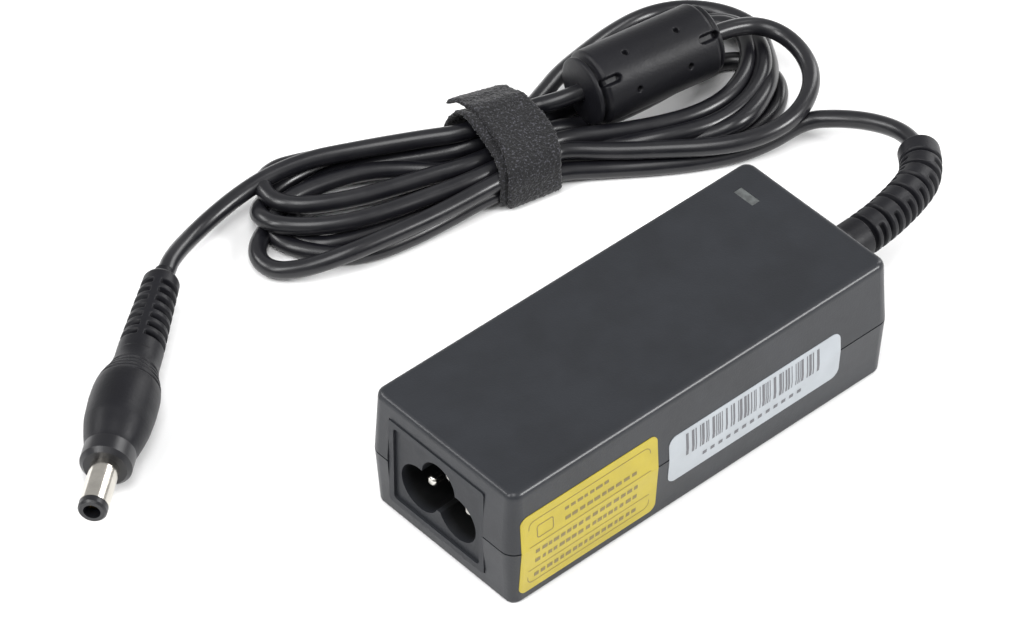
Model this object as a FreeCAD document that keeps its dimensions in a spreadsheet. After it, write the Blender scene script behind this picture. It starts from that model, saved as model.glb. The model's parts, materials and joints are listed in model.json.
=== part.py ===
import FreeCAD, Part

# Laptop power adapter: a two-part welded case with a cloverleaf mains inlet at one end, and an output cord
# that leaves the other end through a bent strain relief, is tied in a hank and ends in a coaxial plug.
# Frame: millimetres, +X from the inlet end to the cord end, +Z up, origin at the middle of the underside.

import math
import os

import Sketcher
from FreeCAD import Placement, Rotation, Vector

X_AXIS, Y_AXIS, Z_AXIS = Vector(1, 0, 0), Vector(0, 1, 0), Vector(0, 0, 1)

doc = FreeCAD.newDocument("power_adapter")
sheet = doc.addObject("Spreadsheet::Sheet", "Sizes")

SIZES = {
    # case
    "case_length": 93.0,
    "case_width": 38.8,
    "case_height": 27.0,
    "parting_height": 13.1,
    "corner_radius": 3.0,
    "top_edge_radius": 1.4,
    "bottom_edge_radius": 1.0,
    "draft_top": 3.3,
    "draft_bottom": 4.0,
    "wall": 2.0,
    "seam_gap": 0.3,
    "lip_height": 1.6,
    "lip_thickness": 0.9,
    # mains inlet
    "inlet_width": 25.4,
    "inlet_height": 20.0,
    "inlet_depth": 15.0,
    "inlet_centre_y": 1.3,
    "inlet_centre_z": 13.4,
    "inlet_recess": 0.6,
    "inlet_rim": 1.3,
    "cavity_depth": 12.5,
    "lobe_radius": 4.95,
    "lobe_spread": 5.0,
    "lobe_drop": 2.15,
    "earth_lobe_radius": 4.4,
    "earth_lobe_rise": 2.7,
    "pin_diameter": 2.36,
    "pin_length": 9.5,
    "pin_tail": 1.0,
    # window and labels
    "window_x": 38.4,
    "window_y": 11.1,
    "window_length": 5.0,
    "window_width": 2.0,
    "label_thickness": 0.12,
    "caution_x": -28.0,
    "caution_z": 11.7,
    "caution_length": 32.6,
    "caution_height": 19.0,
    "caution_radius": 1.6,
    "barcode_x": 12.2,
    "barcode_z": 12.3,
    "barcode_length": 42.4,
    "barcode_height": 11.2,
    "barcode_radius": 1.9,
    # inside the case
    "board_length": 73.0,
    "board_width": 31.0,
    "board_thickness": 1.6,
    "board_z": 5.0,
    "board_x": 6.5,
    "lead_diameter": 1.0,
    # output cord
    "cord_diameter": 3.5,
    "boot_neck_radius": 3.6,
    "boot_flange_radius": 5.4,
    "boot_flange_thickness": 1.0,
    "boot_flange_gap": 0.5,
    "boot_foot_radius": 5.8,
    "boot_foot_length": 5.5,
    "boot_start_radius": 4.1,
    "boot_end_radius": 3.3,
    "boot_groove_depth": 0.9,
    "boot_groove_width": 0.9,
    "boot_grooves": 7,
    "boot_first_groove": 12.0,
    "boot_tip_collar": 5.0,
    # ferrite bead
    "bead_length": 29.4,
    "bead_diameter": 15.2,
    "bead_end_diameter": 13.0,
    "bead_chamfer": 1.4,
    "bead_hole_radius": 0.55,
    "bead_hole_depth": 1.1,
    "bead_notch_length": 4.5,
    "bead_notch_width": 1.8,
    "bead_notch_depth": 1.2,
    "ferrite_length": 22.0,
    "ferrite_diameter": 12.0,
    "ferrite_bore": 5.0,
    # strap
    "strap_width": 11.5,
    "strap_thickness": 1.0,
    "strap_corner_radius": 4.2,
    "strap_tail_length": 13.0,
    # plug
    "grip_slot_width": 1.2,
    "grip_slot_pitch": 2.6,
    "grip_spine": 2.6,
    "grip_hoop_radius": 4.7,
    "grip_hoop_section": 0.35,
    "grip_hoop_pitch": 1.5,
    "plug_collar_length": 4.3,
    "plug_collar_radius": 4.9,
    "barrel_radius": 2.75,
    "barrel_root_radius": 3.4,
    "barrel_bore": 2.35,
    "barrel_length": 9.5,
    "tip_length": 1.6,
    "contact_bore": 1.25,
    "contact_wall": 0.35,
    "contact_set_back": 0.6,
    # board parts
    "fuse_radius": 2.0,
    "fuse_length": 10.0,
    "x_capacitor_length": 13.0,
    "x_capacitor_width": 6.5,
    "x_capacitor_height": 12.0,
    "choke_ring_radius": 5.0,
    "choke_core_radius": 2.0,
    "choke_coil_radius": 2.9,
    "choke_coil_angle": 110.0,
    "bridge_rectifier_length": 3.6,
    "bridge_rectifier_width": 14.0,
    "bridge_rectifier_height": 11.0,
    "transistor_length": 4.5,
    "transistor_width": 10.0,
    "transistor_height": 13.0,
    "transistor_leg_length": 3.0,
    "transistor_leg_width": 0.8,
    "transistor_leg_thickness": 0.5,
    "transistor_leg_pitch": 2.54,
    "heat_sink_thickness": 1.5,
    "heat_sink_height": 16.4,
    "heat_sink_foot": 3.0,
    "bulk_capacitor_radius": 7.3,
    "bulk_capacitor_length": 27.0,
    "output_can_radius": 4.2,
    "output_can_length": 15.0,
    "can_groove": 0.4,
    "transformer_length": 20.0,
    "transformer_width": 14.0,
    "transformer_height": 16.0,
    "transformer_leg": 3.4,
    "control_chip_length": 5.0,
    "control_chip_width": 4.0,
    "control_chip_height": 1.6,
    "optocoupler_length": 6.5,
    "optocoupler_width": 4.6,
    "optocoupler_height": 3.5,
    "y_capacitor_radius": 3.8,
    "y_capacitor_thickness": 3.6,
    "output_choke_radius": 3.1,
    "output_choke_height": 10.0,
    "status_led_radius": 1.4,
    "status_led_height": 13.0,
    # screens round the board
    "screen_low_x": -28.0,
    "screen_high_x": 34.5,
    "screen_low_z": 7.4,
    "shield_half_width": 16.1,
    "shield_top": 24.3,
    "shield_thickness": 0.4,
    "insulating_sheet_half_width": 15.6,
    "insulating_sheet_top": 23.9,
    "insulating_sheet_thickness": 0.25,
}

# clearance round a piece that passes through another
CLEARANCE = 0.05
# where the inlet's front face stands
INLET_FACE_X = -46.2
# the x and y of each board part's low corner, or of its axis where it is round
BOARD_PLACES = {
    "fuse": (-28.0, -12.8),
    "x_capacitor": (-28.5, 8.0),
    "choke": (-20.0, -4.0),
    "bridge_rectifier": (-11.5, -14.0),
    "switching_transistor": (-7.2, 3.5),
    "primary_heat_sink": (-2.7, 1.6),
    "bulk_capacitor": (-6.5, -7.7),
    "transformer": (0.5, 1.2),
    "control_chip": (-8.0, 6.0),
    "y_capacitor": (27.5, -1.6),
    "optocoupler": (23.0, -13.5),
    "output_rectifier": (22.0, 4.0),
    "secondary_heat_sink": (26.5, 2.5),
    "output_choke": (36.5, -11.6),
}
OUTPUT_CAN_PLACES = [(36.8, -3.9), (36.8, 4.3)]
HEAT_SINK_END_Y = 15.2

# the boot's centreline, from the case's end wall round towards +Y
BOOT_ROUTE = [
    (46.5, 0.0, 13.1),
    (58.5, 0.0, 13.1),
    (72.0, 3.4, 12.0),
    (80.0, 7.2, 10.9),
    (85.0, 13.8, 10.0),
]
# the lead leaves the boot, turns back over the table and goes into the hank's near side
LEAD_ROUTE = [
    BOOT_ROUTE[-1],
    (88.0, 17.76, 9.46),
    (89.5, 23.0, 8.7),
    (88.6, 29.1, 7.5),
    (84.8, 35.0, 5.8),
    (78.6, 39.0, 4.0),
    (71.2, 40.7, 2.6),
]
# the tail leaves the hank's far side over its end loops, comes down to the table and rises to the plug
TAIL_ROUTE = [
    (2.5, 89.2, 7.6),
    (-8.5, 92.0, 6.6),
    (-19.5, 93.2, 4.8),
    (-29.0, 91.6, 4.4),
    (-35.5, 88.26, 6.0),
    (-40.2, 84.5, 6.0),
]
HANK_CENTRE = (29.7, 67.3, 0.0)
HANK_ANGLE = -24.0
# the hank's outer form, along its own axis from its plug-side end: station, low and high side, underside, top
HANK_FORM = [
    (-56.0, -14.0, -4.0, 0.0, 5.0),
    (-52.0, -16.5, 3.0, 0.0, 7.6),
    (-46.0, -18.0, 8.6, 0.0, 9.0),
    (-33.0, -18.0, 11.6, 0.0, 10.6),
    (-18.0, -14.0, 12.8, 0.0, 10.8),
    (-8.0, -10.5, 11.5, 1.1, 10.6),
    (8.0, -10.0, 11.5, 1.1, 10.6),
    (14.0, -11.0, 19.5, 0.0, 10.8),
    (26.0, -13.5, 30.0, 0.0, 11.6),
    (41.0, -15.0, 36.8, 0.0, 12.4),
    (51.0, -14.0, 34.6, 0.0, 12.4),
    (57.0, -10.5, 26.4, 0.0, 11.8),
    (63.0, -3.0, 13.0, 2.0, 10.4),
]
# the bead's near end in the hank's frame, and its heading there
BEAD_START = (16.6, 6.0, 11.0)
BEAD_ANGLE = 15.6
# the turn of each row of holes about the bead's axis, and their places along its length
BEAD_HOLE_ROWS = (15, 75, 195, 255)
BEAD_HOLE_COLUMNS = (0.3, 0.7)
BEAD_NOTCH_ANGLE = 45
# where the strap's free tail lifts off the band, and how it is turned
STRAP_TAIL_INSET = 6.5
STRAP_TAIL_LIFT = 0.2
STRAP_TAIL_TURN = 22
STRAP_TAIL_TILT = 12

# the grip's outline, as distance from the end where the cord enters and radius, and the plug's heading
GRIP_PROFILE = [
    (0.0, 2.6),
    (0.8, 3.0),
    (18.6, 4.1),
    (24.8, 4.4),
    (31.5, 5.3),
    (36.3, 5.9),
    (43.0, 5.95),
    (46.5, 5.6),
    (48.0, 5.0),
]
GRIP_FIRST_SLOT = 3.4
GRIP_SLOTS = 6
GRIP_FIRST_HOOP = 24.6
GRIP_HOOPS = 3
PLUG_ANGLE = 218.66


def fill_sheet():
    """Writes every driving size to the sheet, one row each, under an alias that is its name."""
    for row, (name, value) in enumerate(SIZES.items(), start=1):
        sheet.set(f"A{row}", name)
        sheet.set(f"B{row}", str(value))
        sheet.setAlias(f"B{row}", name)
    doc.recompute()


def size(name):
    return float(getattr(sheet, name))


def number(text):
    """The value of an expression such as 'Sizes.wall * 2'."""
    value = sheet.evalExpression(text)
    return float(getattr(value, "Value", value))


def bind(piece, **expressions):
    for name, text in expressions.items():
        piece.setExpression(name, text)
    return piece


def placed(piece, base=Vector(0, 0, 0), axis=Z_AXIS, angle=0.0):
    piece.Placement = Placement(Vector(*base), Rotation(axis, angle))
    return piece


# ---- building blocks ---------------------------------------------------------------------------------


def block(name, length, width, height, at):
    """A box with its lowest corner at the point at; its sizes are expressions or numbers."""
    piece = doc.addObject("Part::Box", name)
    bind(piece, Length=str(length), Width=str(width), Height=str(height))
    return placed(piece, at)


def rod(name, radius, height, at, axis=Z_AXIS, angle=0.0):
    piece = doc.addObject("Part::Cylinder", name)
    bind(piece, Radius=str(radius), Height=str(height))
    return placed(piece, at, axis, angle)


def lying_rod(name, radius, height, at):
    """A cylinder that runs along +X from the point at."""
    return rod(name, radius, height, at, Y_AXIS, 90)


def cut(name, base, tool):
    piece = doc.addObject("Part::Cut", name)
    piece.Base = base
    piece.Tool = tool
    return piece


def fuse(name, pieces):
    piece = doc.addObject("Part::MultiFuse", name)
    piece.Shapes = pieces
    return piece


def group(name, pieces):
    """Several separate solids in one node, such as a set of pins."""
    piece = doc.addObject("Part::Compound", name)
    piece.Links = pieces
    return piece


def common(name, base, tool):
    piece = doc.addObject("Part::Common", name)
    piece.Base = base
    piece.Tool = tool
    return piece


def shaped(name, shape, base=Vector(0, 0, 0), axis=Z_AXIS, angle=0.0):
    """A Part::Feature for a shape that no parametric feature gives."""
    piece = doc.addObject("Part::Feature", name)
    piece.Shape = shape
    return placed(piece, base, axis, angle)


def new_body(name):
    return doc.addObject("PartDesign::Body", name)


def new_sketch(body, role, name, offset=Vector(0, 0, 0)):
    """A sketch on one of the body's own origin planes, moved by offset in the sketch's own directions."""
    sketch = body.newObject("Sketcher::SketchObject", name)
    plane = [item for item in body.Origin.OriginFeatures if item.Role == role][0]
    sketch.AttachmentSupport = [(plane, "")]
    sketch.MapMode = "FlatFace"
    sketch.AttachmentOffset = Placement(Vector(*offset), Rotation())
    return sketch


def rounded_rectangle(sketch, width, height, radius):
    """Adds a rounded rectangle centred on the sketch's origin; its three sizes are expressions."""
    half_w, half_h, r = number(width) / 2, number(height) / 2, number(radius)
    inner_w, inner_h = half_w - r, half_h - r
    first = sketch.GeometryCount
    corners = [
        ((-inner_w, half_h), (inner_w, half_h)),
        ((half_w, inner_h), (half_w, -inner_h)),
        ((inner_w, -half_h), (-inner_w, -half_h)),
        ((-half_w, -inner_h), (-half_w, inner_h)),
    ]
    for start, end in corners:
        sketch.addGeometry(Part.LineSegment(Vector(*start, 0), Vector(*end, 0)), False)
    centres = [(inner_w, inner_h), (inner_w, -inner_h), (-inner_w, -inner_h), (-inner_w, inner_h)]
    for quarter, centre in zip((0, 3, 2, 1), centres):
        circle = Part.Circle(Vector(*centre, 0), Z_AXIS, r)
        arc = Part.ArcOfCircle(circle, quarter * math.pi / 2, (quarter + 1) * math.pi / 2)
        sketch.addGeometry(arc, False)
    # each side's end and the next side's start touch the arc between them; points: 1 is a start, 2 is an end
    for corner in range(4):
        side, following, arc = first + corner, first + (corner + 1) % 4, first + 4 + corner
        sketch.addConstraint(Sketcher.Constraint("Tangent", side, 2, arc, 2))
        sketch.addConstraint(Sketcher.Constraint("Tangent", following, 1, arc, 1))
    for side, direction in zip(range(4), ("Horizontal", "Vertical", "Horizontal", "Vertical")):
        sketch.addConstraint(Sketcher.Constraint(direction, first + side))
    for other in (5, 6, 7):
        sketch.addConstraint(Sketcher.Constraint("Equal", first + 4, first + other))
    sketch.addConstraint(Sketcher.Constraint("Symmetric", first + 4, 3, first + 6, 3, -1, 1))
    measures = [
        (("DistanceX", first + 3, 1, first + 1, 1, 2 * half_w), width),
        (("DistanceY", first + 2, 1, first, 1, 2 * half_h), height),
        (("Radius", first + 4, r), radius),
    ]
    for facts, text in measures:
        index = sketch.addConstraint(Sketcher.Constraint(*facts))
        sketch.setExpression(f"Constraints[{index}]", text)


def outline(sketch, points):
    """Adds a closed polygon through (x, y) points to a sketch."""
    for start, end in zip(points, points[1:] + points[:1]):
        sketch.addGeometry(Part.LineSegment(Vector(*start, 0), Vector(*end, 0)), False)


def pad(body, sketch, length, taper="0", reverse=False):
    feature = body.newObject("PartDesign::Pad", f"{sketch.Name}_pad")
    feature.Profile = sketch
    feature.Reversed = reverse
    bind(feature, Length=length, TaperAngle=taper)
    doc.recompute()
    return feature


def pocket(body, sketch, length, taper="0", reverse=False):
    """Cuts against the sketch's normal, or along it with reverse; it has to remove something."""
    before = body.Shape.Volume
    feature = body.newObject("PartDesign::Pocket", f"{sketch.Name}_pocket")
    feature.Profile = sketch
    feature.Reversed = reverse
    bind(feature, Length=length, TaperAngle=taper)
    doc.recompute()
    if body.Shape.Volume > before - 1e-3:
        raise ValueError(f"{feature.Name} removes nothing")
    return feature


def round_face_edges(body, feature, height, radius):
    """Rounds the outer edges of the feature that lie flat at that height."""
    names = []
    for index, edge in enumerate(feature.Shape.Edges, start=1):
        if all(abs(vertex.Z - height) < 1e-4 for vertex in edge.Vertexes):
            names.append(f"Edge{index}")
    rounding = body.newObject("PartDesign::Fillet", f"{feature.Name}_round")
    rounding.Base = (feature, names)
    bind(rounding, Radius=radius)
    doc.recompute()
    return rounding


def revolved(name, profile):
    """A body turned about its own X axis from (distance along X, radius) points."""
    body = new_body(name)
    sketch = new_sketch(body, "XY_Plane", f"{name}_profile")
    outline(sketch, profile)
    turn = body.newObject("PartDesign::Revolution", f"{name}_turn")
    turn.Profile = sketch
    turn.ReferenceAxis = (sketch, ["H_Axis"])
    turn.Angle = 360
    doc.recompute()
    return body


# ---- cord routes -------------------------------------------------------------------------------------


def bend_radius(before, corner, after):
    """The radius and cut-back of the arc at a corner: as large as the shorter of its two runs allows."""
    arriving, leaving = (corner - before), (after - corner)
    turn = arriving.getAngle(leaving)
    cut_back = 0.45 * min(arriving.Length, leaving.Length)
    return cut_back / math.tan(turn / 2), cut_back


def route_wire(points):
    """Straight runs joined by tangent arcs, and the arcs' radii."""
    edges, radii = [], []
    start = points[0]
    for before, corner, after in zip(points, points[1:], points[2:]):
        radius, cut_back = bend_radius(before, corner, after)
        arriving = (corner - before).normalize()
        leaving = (after - corner).normalize()
        arc_start = corner - arriving * cut_back
        arc_end = corner + leaving * cut_back
        towards_centre = (leaving - arriving).normalize()
        half_turn = arriving.getAngle(leaving) / 2
        middle = corner + towards_centre * (radius / math.cos(half_turn) - radius)
        edges.append(Part.LineSegment(start, arc_start).toShape())
        edges.append(Part.Arc(arc_start, middle, arc_end).toShape())
        radii.append(radius)
        start = arc_end
    edges.append(Part.LineSegment(start, points[-1]).toShape())
    return Part.Wire(edges), radii


def disc_wire(centre, direction, radius):
    return Part.Wire([Part.Circle(centre, direction, radius).toShape()])


def tube(points, radius):
    """A solid round tube along a route, with its length and the radii of its bends."""
    points = [Vector(*point) for point in points]
    path, radii = route_wire(points)
    section = disc_wire(points[0], points[1] - points[0], radius)
    solid = path.makePipeShell([section], True, False)
    expected = math.pi * radius**2 * path.Length
    if abs(solid.Volume / expected - 1) > 0.01:
        raise ValueError(f"the tube holds {solid.Volume:.1f} mm3 instead of {expected:.1f} mm3")
    return solid, path, radii


def cord(name, points):
    """One stretch of the output cord as a plain tube."""
    solid, path, radii = tube(points, size("cord_diameter") / 2)
    listed = ", ".join(f"{radius:.1f}" for radius in radii)
    print(f"{name}: {path.Length:.1f} mm long, bend radii {listed} mm")
    return shaped(name, solid)


# ---- case --------------------------------------------------------------------------------------------

CASE_HALVES = {
    "top": ("Sizes.case_height - Sizes.parting_height", "Sizes.draft_top", "Sizes.top_edge_radius"),
    "bottom": ("Sizes.parting_height", "Sizes.draft_bottom", "Sizes.bottom_edge_radius"),
}


def half_block(name, half, grow=0.0):
    """One drafted half of the case's outer form, with its parting face on the body's XY plane."""
    height, draft, edge_radius = CASE_HALVES[half]
    body = new_body(name)
    sketch = new_sketch(body, "XY_Plane", f"{name}_outline")
    width, depth = (f"Sizes.case_{side} + {2 * grow}" for side in ("length", "width"))
    rounded_rectangle(sketch, width, depth, f"Sizes.corner_radius + {grow}")
    down = half == "bottom"
    grown_height = f"{height} + {grow}"
    feature = pad(body, sketch, grown_height, f"-({draft})", reverse=down)
    level = number(grown_height) * (-1 if down else 1)
    round_face_edges(body, feature, level, edge_radius)
    return body


def hollow_half(name, half):
    """A half of the case, hollowed from its parting face with the wall thickness left all round."""
    height, draft, _ = CASE_HALVES[half]
    body = half_block(name, half)
    down = half == "bottom"
    hollow = new_sketch(body, "XY_Plane", f"{name}_hollow")
    inner = [f"Sizes.case_{side} - 2 * Sizes.wall" for side in ("length", "width")]
    rounded_rectangle(hollow, *inner, "Sizes.corner_radius - 1")
    pocket(body, hollow, f"{height} - Sizes.wall", f"-({draft})", reverse=not down)
    return body


def ring(body, name, outer_inset, inner_inset, offset):
    """A sketch of a closed band that follows the case's outline between two insets."""
    sketch = new_sketch(body, "XY_Plane", name, offset)
    for inset in (outer_inset, inner_inset):
        sides = [f"Sizes.case_{side} - 2 * ({inset})" for side in ("length", "width")]
        rounded_rectangle(sketch, *sides, "Sizes.corner_radius - 1")
    return sketch


def end_cutters():
    """The volumes that open both halves for the inlet, the LED window and the cord's strain relief."""
    inlet = block(
        "inlet_cutter",
        "Sizes.wall * 3",
        f"Sizes.inlet_width + {2 * CLEARANCE}",
        f"Sizes.inlet_height + {2 * CLEARANCE}",
        (
            -size("case_length") / 2 - 1,
            size("inlet_centre_y") - size("inlet_width") / 2 - CLEARANCE,
            size("inlet_centre_z") - size("inlet_height") / 2 - CLEARANCE,
        ),
    )
    relief = lying_rod(
        "relief_cutter",
        f"Sizes.boot_neck_radius + {CLEARANCE}",
        "Sizes.wall * 3",
        (size("case_length") / 2 - 2 * size("wall"), BOOT_ROUTE[0][1], BOOT_ROUTE[0][2]),
    )
    return fuse("end_cutters", [inlet, relief])


def top_cover(cutters):
    body = hollow_half("top_cover_form", "top")
    rebate_inset = f"Sizes.wall - Sizes.lip_thickness - {CLEARANCE}"
    rebate = ring(body, "top_rebate", rebate_inset, "Sizes.wall + 0.5", (0, 0, 0))
    pocket(body, rebate, "Sizes.lip_height + Sizes.seam_gap", reverse=True)
    placed(body, (0, 0, size("parting_height") + size("seam_gap") / 2))
    window = block(
        "window_cutter",
        "Sizes.window_width",
        "Sizes.window_length",
        "Sizes.wall * 3",
        (
            size("window_x") - size("window_width") / 2,
            size("window_y") - size("window_length") / 2,
            size("case_height") - 2 * size("wall"),
        ),
    )
    return cut("top_cover", body, fuse("top_cutters", [cutters, window]))


def bottom_cover(cutters):
    body = hollow_half("bottom_cover_form", "bottom")
    lip = ring(body, "bottom_lip", "Sizes.wall - Sizes.lip_thickness", "Sizes.wall", (0, 0, 0))
    pad(body, lip, "Sizes.lip_height")
    placed(body, (0, 0, size("parting_height") - size("seam_gap") / 2))
    return cut("bottom_cover", body, cutters)


def inlet_opening(body, name):
    """The cloverleaf outline: two lower lobes, the earth lobe above, and the web between them."""
    lobe, spread, drop = size("lobe_radius"), size("lobe_spread"), size("lobe_drop")
    earth, rise = size("earth_lobe_radius"), size("earth_lobe_rise")
    web = Part.makeBox(2 * spread, rise + drop + 2, 1, Vector(-spread, -drop - 2, 0))
    lobes = [(-spread, -drop, lobe), (spread, -drop, lobe), (0, rise, earth)]
    discs = [Part.makeCylinder(radius, 1, Vector(y, z, 0)) for y, z, radius in lobes]
    merged = web.multiFuse(discs).removeSplitter()
    floor = [face for face in merged.Faces if abs(face.CenterOfMass.z) < 1e-6][0]
    sketch = new_sketch(body, "YZ_Plane", name)
    for edge in floor.OuterWire.OrderedEdges:
        if isinstance(edge.Curve, Part.Circle):
            ends = [edge.valueAt(edge.FirstParameter), edge.valueAt(edge.LastParameter)]
            middle = edge.valueAt((edge.FirstParameter + edge.LastParameter) / 2)
            sketch.addGeometry(Part.Arc(ends[0], middle, ends[1]), False)
        else:
            sketch.addGeometry(Part.LineSegment(*(vertex.Point for vertex in edge.Vertexes)), False)
    return sketch


def inlet_housing():
    """The moulded inlet: a block with a rim round a shallow recess, and the cloverleaf cavity in it."""
    body = new_body("inlet_housing")
    front = new_sketch(body, "YZ_Plane", "inlet_front")
    rounded_rectangle(front, "Sizes.inlet_width", "Sizes.inlet_height", "0.6")
    pad(body, front, "Sizes.inlet_depth")
    recess = new_sketch(body, "YZ_Plane", "inlet_recess")
    rim = "2 * Sizes.inlet_rim"
    rounded_rectangle(recess, f"Sizes.inlet_width - {rim}", f"Sizes.inlet_height - {rim}", "0.8")
    pocket(body, recess, "Sizes.inlet_recess", reverse=True)
    pocket(body, inlet_opening(body, "inlet_cavity"), "Sizes.cavity_depth", reverse=True)
    return placed(body, (INLET_FACE_X, size("inlet_centre_y"), size("inlet_centre_z")))


def inlet_pin(name, offset_y, offset_z):
    """A contact pin with a rounded nose, held in the back wall of the cavity and standing out behind it."""
    length = "Sizes.pin_length + Sizes.inlet_depth - Sizes.cavity_depth + Sizes.pin_tail"
    start_x = INLET_FACE_X + size("cavity_depth") - size("pin_length")
    at = (start_x, size("inlet_centre_y") + offset_y, size("inlet_centre_z") + offset_z)
    blank = lying_rod(f"{name}_blank", "Sizes.pin_diameter / 2", length, at)
    doc.recompute()
    nose = doc.addObject("Part::Fillet", name)
    nose.Base = blank
    circles = [
        index
        for index, edge in enumerate(blank.Shape.Edges, start=1)
        if edge.isClosed() and abs(edge.CenterOfMass.x - start_x) < 1e-4
    ]
    nose.Edges = [(index, 0.8, 0.8) for index in circles]
    return nose


def socket_for_pins(housing, pins):
    """Opens the housing's back wall exactly where the pins pass through it."""
    return cut("inlet_socket", housing, fuse("pin_passages", pins))


def label(name, prefix, skin):
    """A thin sheet wrapped over the seam on the case's front side, cut to a rounded outline."""
    body = new_body(f"{name}_outline")
    sketch = new_sketch(body, "XZ_Plane", f"{name}_edge")
    rounded_rectangle(sketch, f"Sizes.{prefix}_length", f"Sizes.{prefix}_height", f"Sizes.{prefix}_radius")
    pad(body, sketch, "Sizes.case_width")
    placed(body, (size(f"{prefix}_x"), 0, size(f"{prefix}_z")))
    return common(name, body, skin)


def label_skin():
    """The layer just outside the case's form that the labels are cut from."""
    parting, half_gap = size("parting_height"), size("seam_gap") / 2
    seam_corner = (-size("case_length") / 2, -size("case_width") / 2, parting - half_gap)
    seam = block("seam_filling", "Sizes.case_length", "Sizes.case_width", "Sizes.seam_gap", seam_corner)
    outer_halves, inner_halves = [], [seam]
    for half, shift in (("top", half_gap), ("bottom", -half_gap)):
        inner = half_block(f"{half}_inner_form", half)
        inner_halves.append(placed(inner, (0, 0, parting + shift)))
        outer = half_block(f"{half}_outer_form", half, size("label_thickness"))
        outer_halves.append(placed(outer, (0, 0, parting)))
    return cut("label_skin", fuse("outer_form", outer_halves), fuse("inner_form", inner_halves))


# ---- electronics -------------------------------------------------------------------------------------


def circuit_board():
    return block(
        "circuit_board",
        "Sizes.board_length",
        "Sizes.board_width",
        "Sizes.board_thickness",
        (size("board_x") - size("board_length") / 2, -size("board_width") / 2, size("board_z")),
    )


def board_block(name, level):
    """A block on the board, whose sizes and place are listed under its name."""
    sizes = [f"Sizes.{name}_{side}" for side in ("length", "width", "height")]
    return block(name, *sizes, (*BOARD_PLACES[name], level))


def can(name, kind, at, lying=False):
    """An electrolytic capacitor: a can with a rolled groove near its base and a vent cross in its top."""
    radius, length, groove = size(f"{kind}_radius"), size(f"{kind}_length"), size("can_groove")
    profile = [
        (0, 0),
        (0, radius),
        (4 * groove, radius),
        (5 * groove, radius - groove),
        (6 * groove, radius),
        (length, radius),
        (length, 0),
    ]
    body = revolved(f"{name}_can", profile)
    vents = []
    for index, (long_y, long_z) in enumerate(((radius, groove), (groove, radius))):
        corner = (length - groove / 2, -long_y / 2, -long_z / 2)
        vents.append(block(f"{name}_vent_{index}", groove, long_y, long_z, corner))
    piece = cut(name, body, fuse(f"{name}_vents", vents))
    if lying:
        return placed(piece, at)
    return placed(piece, at, Y_AXIS, -90)


def bent_leads(name, starts, reach, bottom):
    """Insulated wires that run along X by reach and then bend down to the board."""
    wires = []
    for index, (x, y, z) in enumerate(starts):
        solid, _, _ = tube([(x, y, z), (x + reach, y, z), (x + reach, y, bottom)], size("lead_diameter") / 2)
        wires.append(shaped(f"{name}_{index}", solid))
    return group(name, wires)


def inner_leads(board_top):
    """The wires from the inlet's pins and from the end of the output cord to the board."""
    pin_end = INLET_FACE_X + size("inlet_depth") + size("pin_tail")
    middle_y, middle_z = size("inlet_centre_y"), size("inlet_centre_z")
    spread, drop, rise = size("lobe_spread"), size("lobe_drop"), size("earth_lobe_rise")
    pins = [(spread, -drop), (-spread, -drop), (0.0, rise)]
    starts = [(pin_end, middle_y + y, middle_z + z) for y, z in pins]
    inlet_leads = bent_leads("inlet_leads", starts, 1.3, board_top)
    neck_end = flange_face_x()
    starts = [(neck_end, y, BOOT_ROUTE[0][2]) for y in (-1.0, 1.0)]
    return [inlet_leads, bent_leads("output_leads", starts, -1.6, board_top)]


def common_mode_choke(board_top):
    """A ring core and the two windings on it, which wrap a third of the ring each."""
    centre = (*BOARD_PLACES["choke"], board_top + size("choke_coil_radius") + 1)
    core = doc.addObject("Part::Torus", "choke_core")
    bind(core, Radius1="Sizes.choke_ring_radius", Radius2="Sizes.choke_core_radius")
    placed(core, centre)
    windings = []
    for index, middle in enumerate((0, 180)):
        coil = doc.addObject("Part::Torus", f"choke_coil_{index}")
        bind(coil, Radius1="Sizes.choke_ring_radius", Radius2="Sizes.choke_coil_radius")
        bind(coil, Angle3="Sizes.choke_coil_angle")
        placed(coil, centre, Z_AXIS, middle - size("choke_coil_angle") / 2)
        windings.append(coil)
    coils = cut("choke_windings", fuse("choke_coils", windings), core)
    return [core, coils]


def transformer(board_top):
    """A ferrite core of two outer legs and a middle leg, round a taped winding on its bobbin."""
    length, width = size("transformer_length"), size("transformer_width")
    height, leg = size("transformer_height"), size("transformer_leg")
    x, y = BOARD_PLACES["transformer"]
    coil_height, coil_z = height - 2 * leg, board_top + leg
    slot = (length - 3 * leg) / 2
    outer = block("core_block", length, width, height, (x, y, board_top))
    slots = []
    for index in range(2):
        slot_x = x + leg + index * (slot + leg)
        slots.append(block(f"core_slot_{index}", slot, width + 2, coil_height, (slot_x, y - 1, coil_z)))
    core = cut("transformer_core", outer, fuse("core_slots", slots))
    blank = block("winding_block", length - 2 * leg, width, coil_height, (x + leg, y, coil_z))
    middle = (x + (length - leg) / 2, y - 1, coil_z)
    middle_leg = block("middle_leg", leg, width + 2, coil_height, middle)
    return [core, cut("transformer_winding", blank, middle_leg)]


def heat_sink(name, board_top):
    """An upright aluminium plate with a foot bent along the board."""
    x, low_y = BOARD_PLACES[name]
    at = (x, low_y, board_top)
    thickness, foot = "Sizes.heat_sink_thickness", "Sizes.heat_sink_foot"
    plate = block(f"{name}_plate", thickness, HEAT_SINK_END_Y - low_y, "Sizes.heat_sink_height", at)
    return fuse(name, [plate, block(f"{name}_foot", foot, foot, thickness, at)])


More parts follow.
